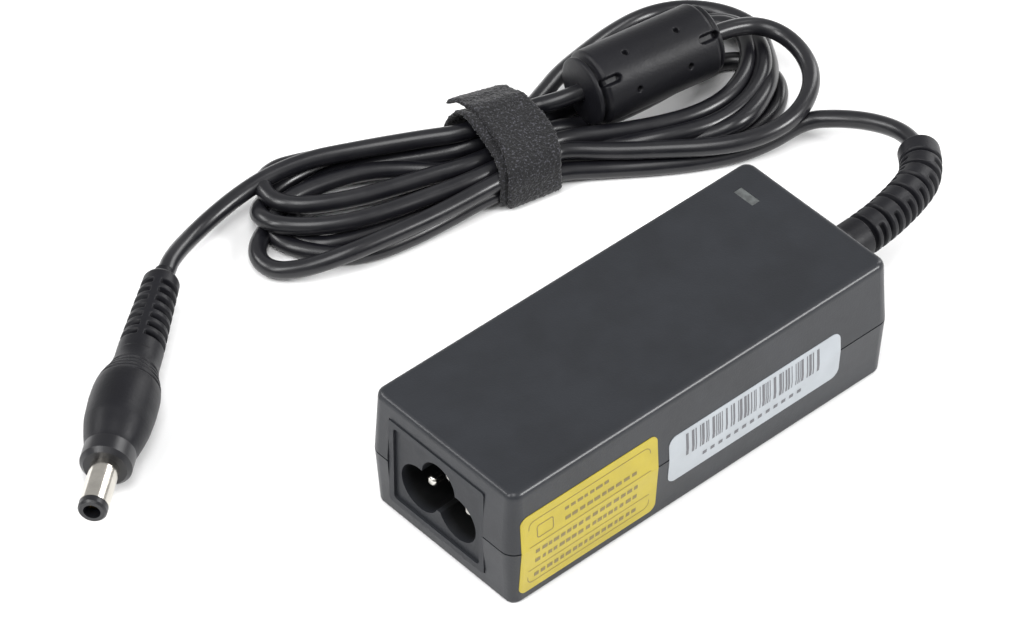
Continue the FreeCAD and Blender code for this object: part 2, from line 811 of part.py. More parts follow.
def transistor(name, board_top):
    """A flat three-legged power device, standing with its back to a heat sink."""
    x, low_y = BOARD_PLACES[name]
    leg, pitch = size("transistor_leg_length"), size("transistor_leg_pitch")
    sides = [f"Sizes.transistor_{side}" for side in ("length", "width", "height")]
    pieces = [block(f"{name}_body", *sides, (x, low_y, board_top + leg))]
    leg_sides = [f"Sizes.transistor_leg_{side}" for side in ("thickness", "width", "length")]
    leg_x = x + (size("transistor_length") - size("transistor_leg_thickness")) / 2
    first_y = low_y + (size("transistor_width") - size("transistor_leg_width")) / 2 - pitch
    for index in range(3):
        pieces.append(block(f"{name}_leg_{index}", *leg_sides, (leg_x, first_y + index * pitch, board_top)))
    return fuse(name, pieces)


def folded_sheet(name):
    """A channel bent from sheet, open below, that covers the board's parts."""
    low_x, low_z, top = size("screen_low_x"), size("screen_low_z"), size(f"{name}_top")
    half_width, thickness = size(f"{name}_half_width"), size(f"{name}_thickness")
    length = "Sizes.screen_high_x - Sizes.screen_low_x"
    roof = block(f"{name}_roof", length, 2 * half_width, thickness, (low_x, -half_width, top))
    sides = []
    for index, y in enumerate((-half_width, half_width - thickness)):
        sides.append(block(f"{name}_side_{index}", length, thickness, top - low_z, (low_x, y, low_z)))
    return fuse(name, [roof, *sides])


def electronics():
    """Everything on the board, from the mains end to the output end."""
    top = size("board_z") + size("board_thickness")
    fuse_at = (*BOARD_PLACES["fuse"], top + size("fuse_radius"))
    bulk_at = (*BOARD_PLACES["bulk_capacitor"], top + size("bulk_capacitor_radius"))
    disc_at = (*BOARD_PLACES["y_capacitor"], top + size("y_capacitor_radius"))
    led_at = (size("window_x"), size("window_y"), top)
    cans = [
        can(f"output_can_{index}", "output_can", (*place, top))
        for index, place in enumerate(OUTPUT_CAN_PLACES)
    ]
    return [
        circuit_board(),
        lying_rod("fuse", "Sizes.fuse_radius", "Sizes.fuse_length", fuse_at),
        board_block("x_capacitor", top),
        *common_mode_choke(top),
        board_block("bridge_rectifier", top),
        transistor("switching_transistor", top),
        heat_sink("primary_heat_sink", top),
        can("bulk_capacitor", "bulk_capacitor", bulk_at, lying=True),
        *transformer(top),
        board_block("control_chip", size("board_z") - size("control_chip_height")),
        rod("y_capacitor", "Sizes.y_capacitor_radius", "Sizes.y_capacitor_thickness", disc_at, X_AXIS, 90),
        board_block("optocoupler", top),
        transistor("output_rectifier", top),
        heat_sink("secondary_heat_sink", top),
        group("output_capacitors", cans),
        rod(
            "output_choke",
            "Sizes.output_choke_radius",
            "Sizes.output_choke_height",
            (*BOARD_PLACES["output_choke"], top),
        ),
        rod("status_led", "Sizes.status_led_radius", "Sizes.status_led_height", led_at),
        *inner_leads(top),
        folded_sheet("shield"),
        folded_sheet("insulating_sheet"),
    ]


def light_pipe():
    """The clear window in the top cover, on a stem that reaches down over the status LED."""
    width, length = size("window_width"), size("window_length")
    at_x, at_y = size("window_x") - width / 2, size("window_y") - length / 2
    stem_bottom = 20.4
    head = block(
        "pipe_head",
        "Sizes.window_width",
        "Sizes.window_length",
        f"Sizes.case_height + Sizes.seam_gap / 2 - 0.1 - {stem_bottom}",
        (at_x, at_y, stem_bottom),
    )
    flange = block("pipe_flange", str(width + 1.6), str(length + 1.6), "0.8", (at_x - 0.8, at_y - 0.8, 24.2))
    return fuse("light_pipe", [head, flange])


# ---- strain relief of the case -----------------------------------------------------------------------


def flange_face_x():
    """Where the boot's retaining flange ends inside the case."""
    inside = size("boot_flange_gap") + size("boot_flange_thickness")
    return size("case_length") / 2 - size("wall") - inside


def boot_frames(points, count, first, last):
    """Evenly spaced (point, direction) pairs along a route between two distances from its start."""
    path, _ = route_wire([Vector(*point) for point in points])
    samples = path.discretize(Number=400)
    step = path.Length / (len(samples) - 1)
    frames = []
    for index in range(count):
        distance = first + (last - first) * index / (count - 1)
        at = min(int(distance / step), len(samples) - 2)
        direction = (samples[at + 1] - samples[at]).normalize()
        frames.append((samples[at], direction))
    return frames


def case_strain_relief():
    """A tapered ribbed boot with a flared foot outside the end wall and a retaining flange inside it."""
    points = [Vector(*point) for point in BOOT_ROUTE]
    path, radii = route_wire(points)
    first, last = size("boot_start_radius"), size("boot_end_radius")
    start = disc_wire(points[0], X_AXIS, first)
    end = disc_wire(points[-1], points[-1] - points[-2], last)
    boot = path.makePipeShell([start, end], True, False)
    print("case_strain_relief: bend radii", ", ".join(f"{radius:.1f}" for radius in radii), "mm")
    depth, width = size("boot_groove_depth"), size("boot_groove_width")
    grooves, ends = int(size("boot_grooves")), (size("boot_first_groove"), size("boot_tip_collar"))
    for point, direction in boot_frames(BOOT_ROUTE, grooves, ends[0], path.Length - ends[1]):
        travelled = (point.x - points[0].x) / (points[-1].x - points[0].x)
        skin = first + travelled * (last - first)
        collar = Part.makeCylinder(2 * first, width, point - direction * width / 2, direction)
        core = Part.makeCylinder(skin - depth, width * 2, point - direction * width, direction)
        boot = boot.cut(collar.cut(core))
    neck_radius, flange = size("boot_neck_radius"), size("boot_flange_thickness")
    neck_start = Vector(flange_face_x(), points[0].y, points[0].z)
    neck = Part.makeCylinder(neck_radius, points[0].x - neck_start.x, neck_start, X_AXIS)
    disc = Part.makeCylinder(size("boot_flange_radius"), flange, neck_start, X_AXIS)
    foot = Part.makeCone(size("boot_foot_radius"), first - 0.2, size("boot_foot_length"), points[0], X_AXIS)
    boot = boot.multiFuse([neck, disc, foot]).removeSplitter()
    return shaped("case_strain_relief", boot)


# ---- output cord, hank, bead and strap ---------------------------------------------------------------

def in_hank(station, side, height):
    """A point of the hank's own frame in the part's frame."""
    turned = Rotation(Z_AXIS, HANK_ANGLE).multVec(Vector(station, side, height))
    return Vector(*HANK_CENTRE) + turned


def hank():
    """The outer form of the tied cord, ruled between rounded sections across the hank."""
    body = new_body("hank_form")
    sections = []
    for index, (station, low, high, under, top) in enumerate(HANK_FORM):
        middle = ((low + high) / 2, (under + top) / 2, station)
        sketch = new_sketch(body, "YZ_Plane", f"hank_section_{index}", middle)
        radius = min(top - under, high - low) * 0.35
        rounded_rectangle(sketch, str(high - low), str(top - under), str(radius))
        sections.append(sketch)
    doc.recompute()
    loft = body.newObject("PartDesign::AdditiveLoft", "hank_loft")
    loft.Profile = sections[0]
    loft.Sections = sections[1:]
    loft.Ruled = True
    doc.recompute()
    return placed(body, HANK_CENTRE, Z_AXIS, HANK_ANGLE)


def bead_profile(clearance=0.0):
    """Half of the bead's outline, as distance along its axis and radius."""
    length, chamfer = size("bead_length"), size("bead_chamfer")
    outer, end = size("bead_diameter") / 2 + clearance, size("bead_end_diameter") / 2 + clearance
    low, high = -clearance, length + clearance
    return [(low, 0), (low, end), (chamfer, outer), (length - chamfer, outer), (high, end), (high, 0)]


def place_bead(piece):
    return placed(piece, in_hank(*BEAD_START), Z_AXIS, HANK_ANGLE + BEAD_ANGLE)


def ferrite_bead():
    """A ferrite tube inside a moulded cover; the cover has locating-pin holes and a notch at each end."""
    length, radius = size("bead_length"), size("bead_diameter") / 2
    start = (length - size("ferrite_length")) / 2
    cover = revolved("bead_blank", bead_profile())
    cavity = lying_rod("bead_cavity", "Sizes.ferrite_diameter / 2", "Sizes.ferrite_length", (start, 0, 0))
    bore = lying_rod("bead_bore", "Sizes.cord_diameter / 2", "Sizes.bead_length + 2", (-1, 0, 0))
    tools = [cavity, bore]
    depth = size("bead_hole_depth")
    for row, angle in enumerate(BEAD_HOLE_ROWS):
        for column, along in enumerate(BEAD_HOLE_COLUMNS):
            outwards = Rotation(X_AXIS, angle).multVec(Z_AXIS)
            at = Vector(length * along, 0, 0) + outwards * (radius - depth)
            hole = rod(f"bead_hole_{row}_{column}", "Sizes.bead_hole_radius", 2 * depth, at, X_AXIS, angle)
            tools.append(hole)
    notch_length, notch_width = size("bead_notch_length"), size("bead_notch_width")
    notch_depth = size("bead_notch_depth")
    for index, low in enumerate((-1, length - notch_length)):
        corner = (low, -notch_width / 2, radius - notch_depth)
        notch = block(f"bead_notch_{index}", notch_length + 1, notch_width, 2 * notch_depth, corner)
        turn = Placement(Vector(0, 0, 0), Rotation(X_AXIS, BEAD_NOTCH_ANGLE))
        notch.Placement = turn.multiply(notch.Placement)
        tools.append(notch)
    moulding = place_bead(cut("bead_cover", cover, fuse("bead_cuts", tools)))
    core = lying_rod("core_blank", "Sizes.ferrite_diameter / 2", "Sizes.ferrite_length", (start, 0, 0))
    bore_start = (start - 1, 0, 0)
    core_bore = lying_rod("core_bore", "Sizes.ferrite_bore / 2", "Sizes.ferrite_length + 2", bore_start)
    ferrite = place_bead(cut("ferrite_core", core, core_bore))
    return [moulding, ferrite]


def strap(hank_body):
    """A band wound round the middle of the hank, with its free tail standing off on the far side."""
    thick, width = size("strap_thickness"), size("strap_width")
    _, low, high, under, top = HANK_FORM[5]
    band = new_body("strap_band")
    sketch = new_sketch(band, "YZ_Plane", "strap_section", ((low + high) / 2, (under + top) / 2, -width / 2))
    spans = [str(span + 2 * thick) for span in (high - low, top - under)]
    rounded_rectangle(sketch, *spans, "Sizes.strap_corner_radius")
    pad(band, sketch, "Sizes.strap_width")
    placed(band, HANK_CENTRE, Z_AXIS, HANK_ANGLE)
    tail_sides = [f"Sizes.strap_{side}" for side in ("width", "tail_length", "thickness")]
    tail = block("strap_tail", *tail_sides, (0, 0, 0))
    start = in_hank(-width / 2, high - STRAP_TAIL_INSET, top + STRAP_TAIL_LIFT)
    turned = Rotation(Z_AXIS, HANK_ANGLE + STRAP_TAIL_TURN).multiply(Rotation(X_AXIS, STRAP_TAIL_TILT))
    tail.Placement = Placement(start, turned)
    return cut("cord_strap", fuse("strap_whole", [band, tail]), hank_body)


# ---- plug --------------------------------------------------------------------------------------------

def in_plug(piece, along=0.0):
    """Places a piece of the plug, along its axis from the end where the cord enters."""
    start = Vector(*TAIL_ROUTE[-1])
    direction = Rotation(Z_AXIS, PLUG_ANGLE)
    return placed(piece, start + direction.multVec(Vector(along, 0, 0)), Z_AXIS, PLUG_ANGLE)


def plug_grip():
    """The moulded grip: a slotted strain relief, three fine rings and a bulb."""
    length = GRIP_PROFILE[-1][0]
    widest = max(radius for _, radius in GRIP_PROFILE)
    blank = revolved("grip_blank", [(0, 0), *GRIP_PROFILE, (length, 0)])
    tools = []
    spine = size("grip_spine") / 2
    for index in range(GRIP_SLOTS):
        along = GRIP_FIRST_SLOT + index * size("grip_slot_pitch")
        for side, low_y in enumerate((spine, -spine - widest)):
            corner = (along, low_y, -widest)
            tools.append(
                block(f"grip_slot_{side}_{index}", "Sizes.grip_slot_width", widest, 2 * widest, corner)
            )
    for index in range(GRIP_HOOPS):
        along = GRIP_FIRST_HOOP + index * size("grip_hoop_pitch")
        hoop = doc.addObject("Part::Torus", f"grip_hoop_{index}")
        bind(hoop, Radius1="Sizes.grip_hoop_radius", Radius2="Sizes.grip_hoop_section")
        placed(hoop, (along, 0, 0), Y_AXIS, 90)
        tools.append(hoop)
    return in_plug(cut("plug_grip", blank, fuse("grip_cuts", tools)))


def plug():
    """The plug's pieces in order from the cord: grip, collar, barrel, contact and tip."""
    grip, collar = GRIP_PROFILE[-1][0], size("plug_collar_length")
    barrel_radius, root_radius = size("barrel_radius"), size("barrel_root_radius")
    length, tip = size("barrel_length"), size("tip_length")
    bore, contact = size("barrel_bore"), size("contact_bore")
    outer_contact = contact + size("contact_wall")
    contact_end = length - size("contact_set_back")
    collar_radius = size("plug_collar_radius")
    chamfer = collar_radius / 6
    face = grip + collar
    collar_profile = [
        (0, root_radius),
        (0, collar_radius),
        (collar - chamfer, collar_radius),
        (collar, collar_radius - chamfer),
        (collar, barrel_radius),
    ]
    barrel_profile = [
        (-collar, bore),
        (-collar, root_radius),
        (0, barrel_radius),
        (length, barrel_radius),
        (length, bore),
    ]
    contact_profile = [
        (-collar, contact),
        (-collar, outer_contact),
        (contact_end, outer_contact),
        (contact_end, contact),
    ]
    tip_profile = [
        (-collar, outer_contact),
        (-collar, bore),
        (length, bore),
        (length, barrel_radius),
        (length + tip * 0.75, barrel_radius - CLEARANCE),
        (length + tip, barrel_radius - tip * 0.25),
        (length + tip, outer_contact),
        (contact_end, contact),
        (contact_end, outer_contact),
    ]
    return [
        plug_grip(),
        in_plug(revolved("plug_collar", collar_profile), grip),
        in_plug(revolved("plug_barrel", barrel_profile), face),
        in_plug(revolved("plug_contact", contact_profile), face),
        in_plug(revolved("plug_insulator", tip_profile), face),
    ]


# ---- assembly ----------------------------------------------------------------------------------------


def check(objects):
    """Stops at the first failed feature or empty or invalid shape."""
    for item in doc.Objects:
        if {"Invalid", "Error"} & set(item.State):
            raise ValueError(f"{item.Name} failed: {item.State}")
    for item in objects:
        if item.Shape.isNull() or not item.Shape.isValid() or not item.Shape.Solids:
            raise ValueError(f"{item.Label} has no valid solid")


def build():
    fill_sheet()
    cutters = end_cutters()
    housing = inlet_housing()
    spread, drop, rise = size("lobe_spread"), size("lobe_drop"), size("earth_lobe_rise")
    pins = [
        inlet_pin("line_pin", spread, -drop),
        inlet_pin("neutral_pin", -spread, -drop),
        inlet_pin("earth_pin", 0.0, rise),
    ]
    skin = label_skin()
    nodes = {
        "top_cover": top_cover(cutters),
        "bottom_cover": bottom_cover(cutters),
        "inlet_housing": socket_for_pins(housing, pins),
        "caution_label": label("caution_label", "caution", skin),
        "barcode_label": label("barcode_label", "barcode", skin),
        "light_pipe": light_pipe(),
        "case_strain_relief": case_strain_relief(),
    }
    for piece in [*pins, *electronics(), *plug()]:
        nodes[piece.Name] = piece
    whole_hank = hank()
    bead_cover, ferrite = ferrite_bead()
    bead_space = place_bead(revolved("bead_space", bead_profile(CLEARANCE)))
    nodes["ferrite_bead_cover"] = bead_cover
    nodes["ferrite_core"] = ferrite
    nodes["cord_hank"] = cut("hank_without_bead", whole_hank, bead_space)
    nodes["cord_strap"] = strap(whole_hank)
    nodes["cord_lead"] = cord("cord_lead_tube", LEAD_ROUTE)
    nodes["cord_tail"] = cord("cord_tail_tube", TAIL_ROUTE)
    for name, piece in nodes.items():
        piece.Label = name
    doc.recompute()
    check(nodes.values())
    return nodes


parts = build()
os.makedirs("parts", exist_ok=True)
for node, piece in parts.items():
    piece.Shape.exportStep(f"parts/{node}.step")
print(len(parts), "parts")
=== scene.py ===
import json
import math
import random

import bmesh
import bpy
from mathutils import Matrix, Vector, noise

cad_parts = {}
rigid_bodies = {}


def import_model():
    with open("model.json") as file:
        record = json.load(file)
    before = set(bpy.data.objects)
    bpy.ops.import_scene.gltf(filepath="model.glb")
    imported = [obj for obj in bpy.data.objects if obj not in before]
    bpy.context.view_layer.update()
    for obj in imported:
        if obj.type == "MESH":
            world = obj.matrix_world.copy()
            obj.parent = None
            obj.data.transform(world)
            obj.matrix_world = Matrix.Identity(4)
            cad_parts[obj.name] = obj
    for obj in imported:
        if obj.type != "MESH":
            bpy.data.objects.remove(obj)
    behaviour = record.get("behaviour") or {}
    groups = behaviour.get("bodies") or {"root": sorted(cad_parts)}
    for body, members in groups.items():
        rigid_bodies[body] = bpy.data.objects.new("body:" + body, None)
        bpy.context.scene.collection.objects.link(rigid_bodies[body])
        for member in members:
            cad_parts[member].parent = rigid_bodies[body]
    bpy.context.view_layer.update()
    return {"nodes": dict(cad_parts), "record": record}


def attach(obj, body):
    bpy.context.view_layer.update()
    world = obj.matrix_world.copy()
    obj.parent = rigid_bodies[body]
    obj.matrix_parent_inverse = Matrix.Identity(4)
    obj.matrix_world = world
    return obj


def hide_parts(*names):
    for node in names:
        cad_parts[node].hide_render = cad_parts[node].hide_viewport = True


# Laptop power adapter. Everything is in metres in the part's frame: +X from the inlet end to the cord end,
# +Z up, origin at the middle of the case's underside. Shapes are written in millimetres and scaled by MM.

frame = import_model()
MM = 0.001
SCENE = bpy.context.scene


def mm(*values):
    return Vector(values) * MM


# ---- camera, floor and light ------------------------------------------------------------------------

CAMERA_TARGET = mm(3.447, 36.537, 0.0)
CAMERA_DISTANCE = 1.15094
CAMERA_AZIMUTH = math.radians(-41.83)
CAMERA_ELEVATION = math.radians(43.66)
CAMERA_LENS = 217.97


def add_camera():
    data = bpy.data.cameras.new("camera")
    data.lens = CAMERA_LENS
    data.sensor_width = 36.0
    data.clip_end = 20.0
    away = Vector((
        math.sin(CAMERA_AZIMUTH) * math.cos(CAMERA_ELEVATION),
        -math.cos(CAMERA_AZIMUTH) * math.cos(CAMERA_ELEVATION),
        math.sin(CAMERA_ELEVATION),
    ))
    camera = bpy.data.objects.new("camera", data)
    camera.location = CAMERA_TARGET + away * CAMERA_DISTANCE
    camera.rotation_euler = away.to_track_quat("Z", "Y").to_euler()
    SCENE.collection.objects.link(camera)
    SCENE.camera = camera


LIGHTS_AIM = (0.0, 0.03, 0.01)


def add_light(name, location, size, power):
    """A white rectangular light that faces the middle of the scene."""
    data = bpy.data.lights.new(name, "AREA")
    data.shape = "RECTANGLE"
    data.size, data.size_y = size
    data.energy = power
    lamp = bpy.data.objects.new(name, data)
    lamp.location = location
    lamp.rotation_euler = (Vector(location) - Vector(LIGHTS_AIM)).to_track_quat("Z", "Y").to_euler()
    SCENE.collection.objects.link(lamp)


def add_studio():
    """Even white surroundings and five soft lights; the front one draws the bright line on the case's edge."""
    world = bpy.data.worlds.new("studio")
    world.use_nodes = True
    background = world.node_tree.nodes["Background"]
    background.inputs["Color"].default_value = (1.0, 1.0, 1.0, 1.0)
    background.inputs["Strength"].default_value = 0.5
    SCENE.world = world
    SCENE.view_settings.view_transform = "Standard"
    add_light("back", (-0.75, 0.95, 0.8), (0.9, 0.3), 8.0)
    add_light("right", (1.1, 0.1, 0.6), (0.3, 0.8), 5.0)
    add_light("left", (-1.0, 0.1, 0.9), (0.3, 0.8), 8.0)
    add_light("front", (0.65, -0.92, 0.75), (0.4, 0.4), 14.0)
    add_light("above", (-0.35, -0.3, 1.3), (0.5, 0.9), 9.0)


# ---- node materials ---------------------------------------------------------------------------------


class Finish:
    """A material under construction: a Principled shader and the nodes that feed it."""

    def __init__(self, name, **constants):
        self.material = bpy.data.materials.new(name)
        self.material.use_nodes = True
        self.tree = self.material.node_tree
        self.shader = self.tree.nodes["Principled BSDF"]
        for socket, value in constants.items():
            self.shader.inputs[socket.replace("_", " ")].default_value = value
        self.place = self.tree.nodes.new("ShaderNodeTexCoord").outputs["Object"]
        self.normal = None

    def node(self, kind, **inputs):
        """A new node; each input is a constant or another node's output."""
        made = self.tree.nodes.new(kind)
        for socket, value in inputs.items():
            target = made.inputs[socket.replace("_", " ")]
            if isinstance(value, bpy.types.NodeSocket):
                self.tree.links.new(value, target)
            else:
                target.default_value = value
        return made

    def noise(self, scale, detail=3.0, roughness=0.55):
        made = self.node("ShaderNodeTexNoise", Scale=scale, Detail=detail, Roughness=roughness)
        self.tree.links.new(self.place, made.inputs["Vector"])
        return made.outputs["Fac"]

    def cells(self, scale):
        made = self.node("ShaderNodeTexVoronoi", Scale=scale)
        self.tree.links.new(self.place, made.inputs["Vector"])
        return made.outputs["Distance"]

    def ramp(self, value, stops):
        """A colour for each value, through (position, colour) stops."""
        made = self.node("ShaderNodeValToRGB", Fac=value)
        elements = made.color_ramp.elements
        while len(elements) < len(stops):
            elements.new(0.5)
        for element, (position, colour) in zip(elements, stops):
            element.position = position
            element.color = (*colour, 1.0)
        return made.outputs["Color"]

    def blend(self, factor, low, high):
        """A number that goes from low to high as factor goes from 0 to 1."""
        made = self.node("ShaderNodeMapRange", Value=factor, To_Min=low, To_Max=high)
        return made.outputs["Result"]

    def connect(self, value, socket):
        self.tree.links.new(value, self.shader.inputs[socket])

    def colour(self, value, dark, light, low=0.35, high=0.65):
        """The base colour: dark where the value is at most low, and light where it is at least high."""
        self.connect(self.ramp(value, [(low, dark), (high, light)]), "Base Color")

    def roughness(self, value, low, high):
        self.connect(self.blend(value, low, high), "Roughness")

    def bump(self, height, distance, strength=1.0):
        """Adds a relief of that depth in metres to the ones before it."""
        made = self.node("ShaderNodeBump", Height=height, Distance=distance, Strength=strength)
        if self.normal:
            self.tree.links.new(self.normal, made.inputs["Normal"])
        self.normal = made.outputs["Normal"]
        self.connect(self.normal, "Normal")


def tinted(colour, factor):
    return tuple(channel * factor for channel in colour)


def moulded(name, colour, rough, grain=0.00004, grain_scale=2600.0, contrast=0.12, **constants):
    """Moulded plastic: a fine spark-eroded grain, a faint cloudiness and uneven gloss."""
    finish = Finish(name, **constants)
    clouds = finish.noise(90.0, detail=4.0)
    finish.colour(clouds, tinted(colour, 1 - contrast), tinted(colour, 1 + contrast))
    finish.roughness(finish.noise(420.0), rough - 0.06, rough + 0.08)
    finish.bump(finish.noise(grain_scale, detail=2.0), grain)
    finish.bump(clouds, 0.00003, 0.3)
    return finish.material


def glossy_sheath(name):
    """Soft PVC cord sheath: nearly black, glossy, with faint waviness along it."""
    finish = Finish(name, Coat_Weight=0.12, Coat_Roughness=0.25, IOR=1.45)
    finish.colour(finish.noise(150.0), (0.005, 0.005, 0.007), (0.010, 0.010, 0.012))
    finish.roughness(finish.noise(600.0), 0.27, 0.34)
    finish.bump(finish.noise(140.0, detail=1.0), 0.00002, 0.3)
    return finish.material


def hook_and_loop(name):
    """Hook-and-loop tape: a dense fuzz of small loops over a woven ground."""
    finish = Finish(name, Sheen_Weight=0.12, Sheen_Roughness=0.5)
    tufts = finish.cells(2300.0)
    fluff = finish.noise(2500.0, detail=2.0, roughness=0.6)
    finish.colour(fluff, (0.002, 0.002, 0.003), (0.062, 0.062, 0.074), low=0.54, high=0.72)
    finish.roughness(fluff, 0.85, 1.0)
    finish.bump(tufts, 0.0002, 0.7)
    finish.bump(fluff, 0.0001, 0.6)
    return finish.material


def printed_film(name, colour, rough=0.38):
    """Label stock, tape or ink: slightly mottled, under a thin clear layer."""
    finish = Finish(name, Coat_Weight=0.15, Coat_Roughness=0.2)
    mottle = finish.noise(160.0, detail=4.0)
    finish.colour(mottle, tinted(colour, 0.93), tinted(colour, 1.04))
    finish.roughness(finish.noise(500.0), rough - 0.05, rough + 0.1)
    finish.bump(finish.noise(900.0), 0.00002, 0.5)
    return finish.material


def painted_shade_plastic(name, colour, rough, face, depth):
    """Moulded plastic with painted shade: its colour darkens with depth behind a face at that x, standing in
    for the shade where little light reaches.
    """
    finish = Finish(name, Specular_IOR_Level=0.35)
    along = finish.node("ShaderNodeSeparateXYZ", Vector=finish.place).outputs["X"]
    shade = finish.node("ShaderNodeMapRange", Value=along, From_Min=face, From_Max=face + depth)
    # painted shade: the colour falls towards near black deeper in, in place of the cavity's shade
    stops = [(0.1, colour), (0.9, tinted(colour, 0.06))]
    finish.connect(finish.ramp(shade.outputs["Result"], stops), "Base Color")
    finish.roughness(finish.noise(420.0), rough - 0.06, rough + 0.08)
    finish.bump(finish.noise(2600.0, detail=2.0), 0.00003)
    return finish.material


def plated(name, colour, rough):
    """Turned and plated metal: fine circumferential marks and slight tarnish."""
    finish = Finish(name, Metallic=1.0)
    tarnish = finish.noise(240.0, detail=5.0)
    finish.colour(tarnish, tinted(colour, 0.86), tinted(colour, 1.05))
    finish.roughness(finish.noise(900.0), rough - 0.04, rough + 0.08)
    finish.bump(finish.noise(3000.0, detail=2.0), 0.000008, 0.5)
    return finish.material


def flecked(name, colour, rough, scale=1400.0, **constants):
    """A fired or pressed surface with fine flecks, for ferrite, ceramic and laminate."""
    finish = Finish(name, **constants)
    flecks = finish.noise(scale, detail=4.0, roughness=0.65)
    finish.colour(flecks, tinted(colour, 0.7), tinted(colour, 1.15))
    finish.roughness(flecks, rough - 0.08, rough + 0.1)
    finish.bump(flecks, 0.00005, 0.6)
    return finish.material


def translucent(name):
    """The smoky plastic of the light pipe."""
    finish = Finish(name, Transmission_Weight=0.25, IOR=1.45)
    haze = finish.noise(700.0, detail=4.0)
    finish.colour(haze, (0.07, 0.075, 0.075), (0.13, 0.14, 0.14))
    finish.roughness(haze, 0.4, 0.6)
    finish.bump(finish.noise(1500.0), 0.00002, 0.5)
    return finish.material


CHARCOAL = (0.0145, 0.0160, 0.0195)
BLACK = (0.005, 0.005, 0.007)
MATERIALS = {
    "case_plastic": moulded(
        "case_plastic", CHARCOAL, 0.5, Specular_IOR_Level=0.16, Coat_Weight=0.42, Coat_Roughness=0.24
    ),
    # the inlet's cavity gets painted shade, darkening with depth behind its face
    "inlet_plastic": painted_shade_plastic("inlet_plastic", tinted(CHARCOAL, 1.05), 0.5, face=-0.0461, depth=0.003),
    "pin_metal": plated("pin_metal", (0.75, 0.73, 0.68), 0.18),
    "caution_label": printed_film("caution_label", (0.375, 0.295, 0.006)),
    "barcode_label": printed_film("barcode_label", (0.34, 0.365, 0.39), 0.34),
    "light_pipe": translucent("light_pipe"),
    "moulded_pvc": moulded(
        "moulded_pvc", BLACK, 0.44, grain=0.00003, grain_scale=1900.0, Specular_IOR_Level=0.25
    ),
    "cord_pvc": glossy_sheath("cord_pvc"),
    "ferrite": flecked("ferrite", (0.05, 0.05, 0.052), 0.55),
    "strap_fabric": hook_and_loop("strap_fabric"),
    "collar_plastic": moulded("collar_plastic", BLACK, 0.34, grain=0.00001),
    "nickel": plated("nickel", (0.70, 0.67, 0.61), 0.16),
    "contact_brass": plated("contact_brass", (0.72, 0.60, 0.35), 0.25),
    "board_laminate": flecked("board_laminate", (0.45, 0.33, 0.12), 0.5, scale=2200.0),
    "fuse_ceramic": flecked("fuse_ceramic", (0.75, 0.72, 0.65), 0.4),
    "capacitor_yellow": moulded("capacitor_yellow", (0.70, 0.50, 0.06), 0.35),
    "copper_wire": plated("copper_wire", (0.65, 0.26, 0.10), 0.3),
    "component_black": moulded("component_black", (0.02, 0.02, 0.02), 0.5),
    "capacitor_can": moulded("capacitor_can", (0.03, 0.04, 0.08), 0.3),
    "heat_sink_aluminium": plated("heat_sink_aluminium", (0.72, 0.72, 0.74), 0.35),
    "winding_tape": printed_film("winding_tape", (0.72, 0.60, 0.10)),
    "capacitor_blue": moulded("capacitor_blue", (0.06, 0.20, 0.50), 0.3),
    "insulating_film": printed_film("insulating_film", (0.80, 0.80, 0.76)),
    "wire_insulation": moulded("wire_insulation", (0.03, 0.03, 0.035), 0.35),
    "label_ink": printed_film("label_ink", (0.16, 0.12, 0.03), 0.5),
    "faded_ink": printed_film("faded_ink", (0.10, 0.10, 0.11), 0.5),
    "floor": moulded("floor", (0.9, 0.9, 0.9), 0.8, grain=0.00001, contrast=0.004),
}


def dress_nodes():
    """Gives every node of the frame the finish of its material slot."""
    for part in frame["record"]["subparts"]:
        node = frame["nodes"][part["node"]]
        node.data.materials.clear()
        node.data.materials.append(MATERIALS[part["material_slot"]])


# ---- building pieces --------------------------------------------------------------------------------


def add_piece(name, mesh, slot, smooth=True, finish=None):
    """Links a mesh as a piece with the finish of its slot, or with another one, riding on the body."""
    if smooth:
        mesh.polygons.foreach_set("use_smooth", [True] * len(mesh.polygons))
    piece = bpy.data.objects.new(name, mesh)
    piece.data.materials.append(MATERIALS[finish or slot])
    SCENE.collection.objects.link(piece)
    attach(piece, "root")
    return piece


def mesh_from(name, points, faces):
    mesh = bpy.data.meshes.new(name)
    mesh.from_pydata([tuple(point) for point in points], [], faces)
    mesh.update()
    return mesh


def closed_mesh(name, points, faces):
    """The mesh of a closed surface, with its faces turned outwards."""
    mesh = mesh_from(name, points, faces)
    solid = bmesh.new()
    solid.from_mesh(mesh)
    bmesh.ops.recalc_face_normals(solid, faces=solid.faces)
    solid.to_mesh(mesh)
    solid.free()
    return mesh


# ---- cord -------------------------------------------------------------------------------------------

CORD_DIAMETER = 3.5 * MM
HANK_CENTRE = (29.7, 67.3, 0.0)
HANK_ANGLE = math.radians(-24.0)
PLUG_START = (-40.2, 84.5, 6.0)
PLUG_ANGLE = math.radians(218.66)


def in_hank(station, side, height):
    """A point of the hank's own frame, in millimetres, in the part's frame in metres."""
    turned = Matrix.Rotation(HANK_ANGLE, 3, "Z") @ Vector((station, side, height))
    return (Vector(HANK_CENTRE) + turned) * MM


# heights of the three layers of strands in the strap; a strand on the floor is at the cord's radius, 1.75
BOTTOM, MIDDLE, TOP = 2.85, 5.95, 8.95
# how far the strands climb to the side for each millimetre along the hank, and the strap's reach either way
STRAP_SLOPE = 0.22
STRAP_REACH = 7.0


def through_strap(left, right, height, towards):
    """A strand's two points at the strap's edges; left and right are its sides at the strap's middle, as its
    two ends see them, and towards is 1 for a strand that goes to +s."""
    slant = STRAP_SLOPE * STRAP_REACH
    edges = [(-STRAP_REACH, left - slant, height), (STRAP_REACH, right + slant, height)]
    return edges[::towards]


# the cord from the boot to the hank, in millimetres in the part's frame
LEAD = [
    (83.0, 9.8, 10.4), (84.9, 13.0, 10.0), (86.4, 16.4, 9.3), (86.9, 20.8, 8.4),
    (85.8, 26.5, 7.1), (83.2, 32.2, 5.6), (79.5, 37.4, 3.9),
]
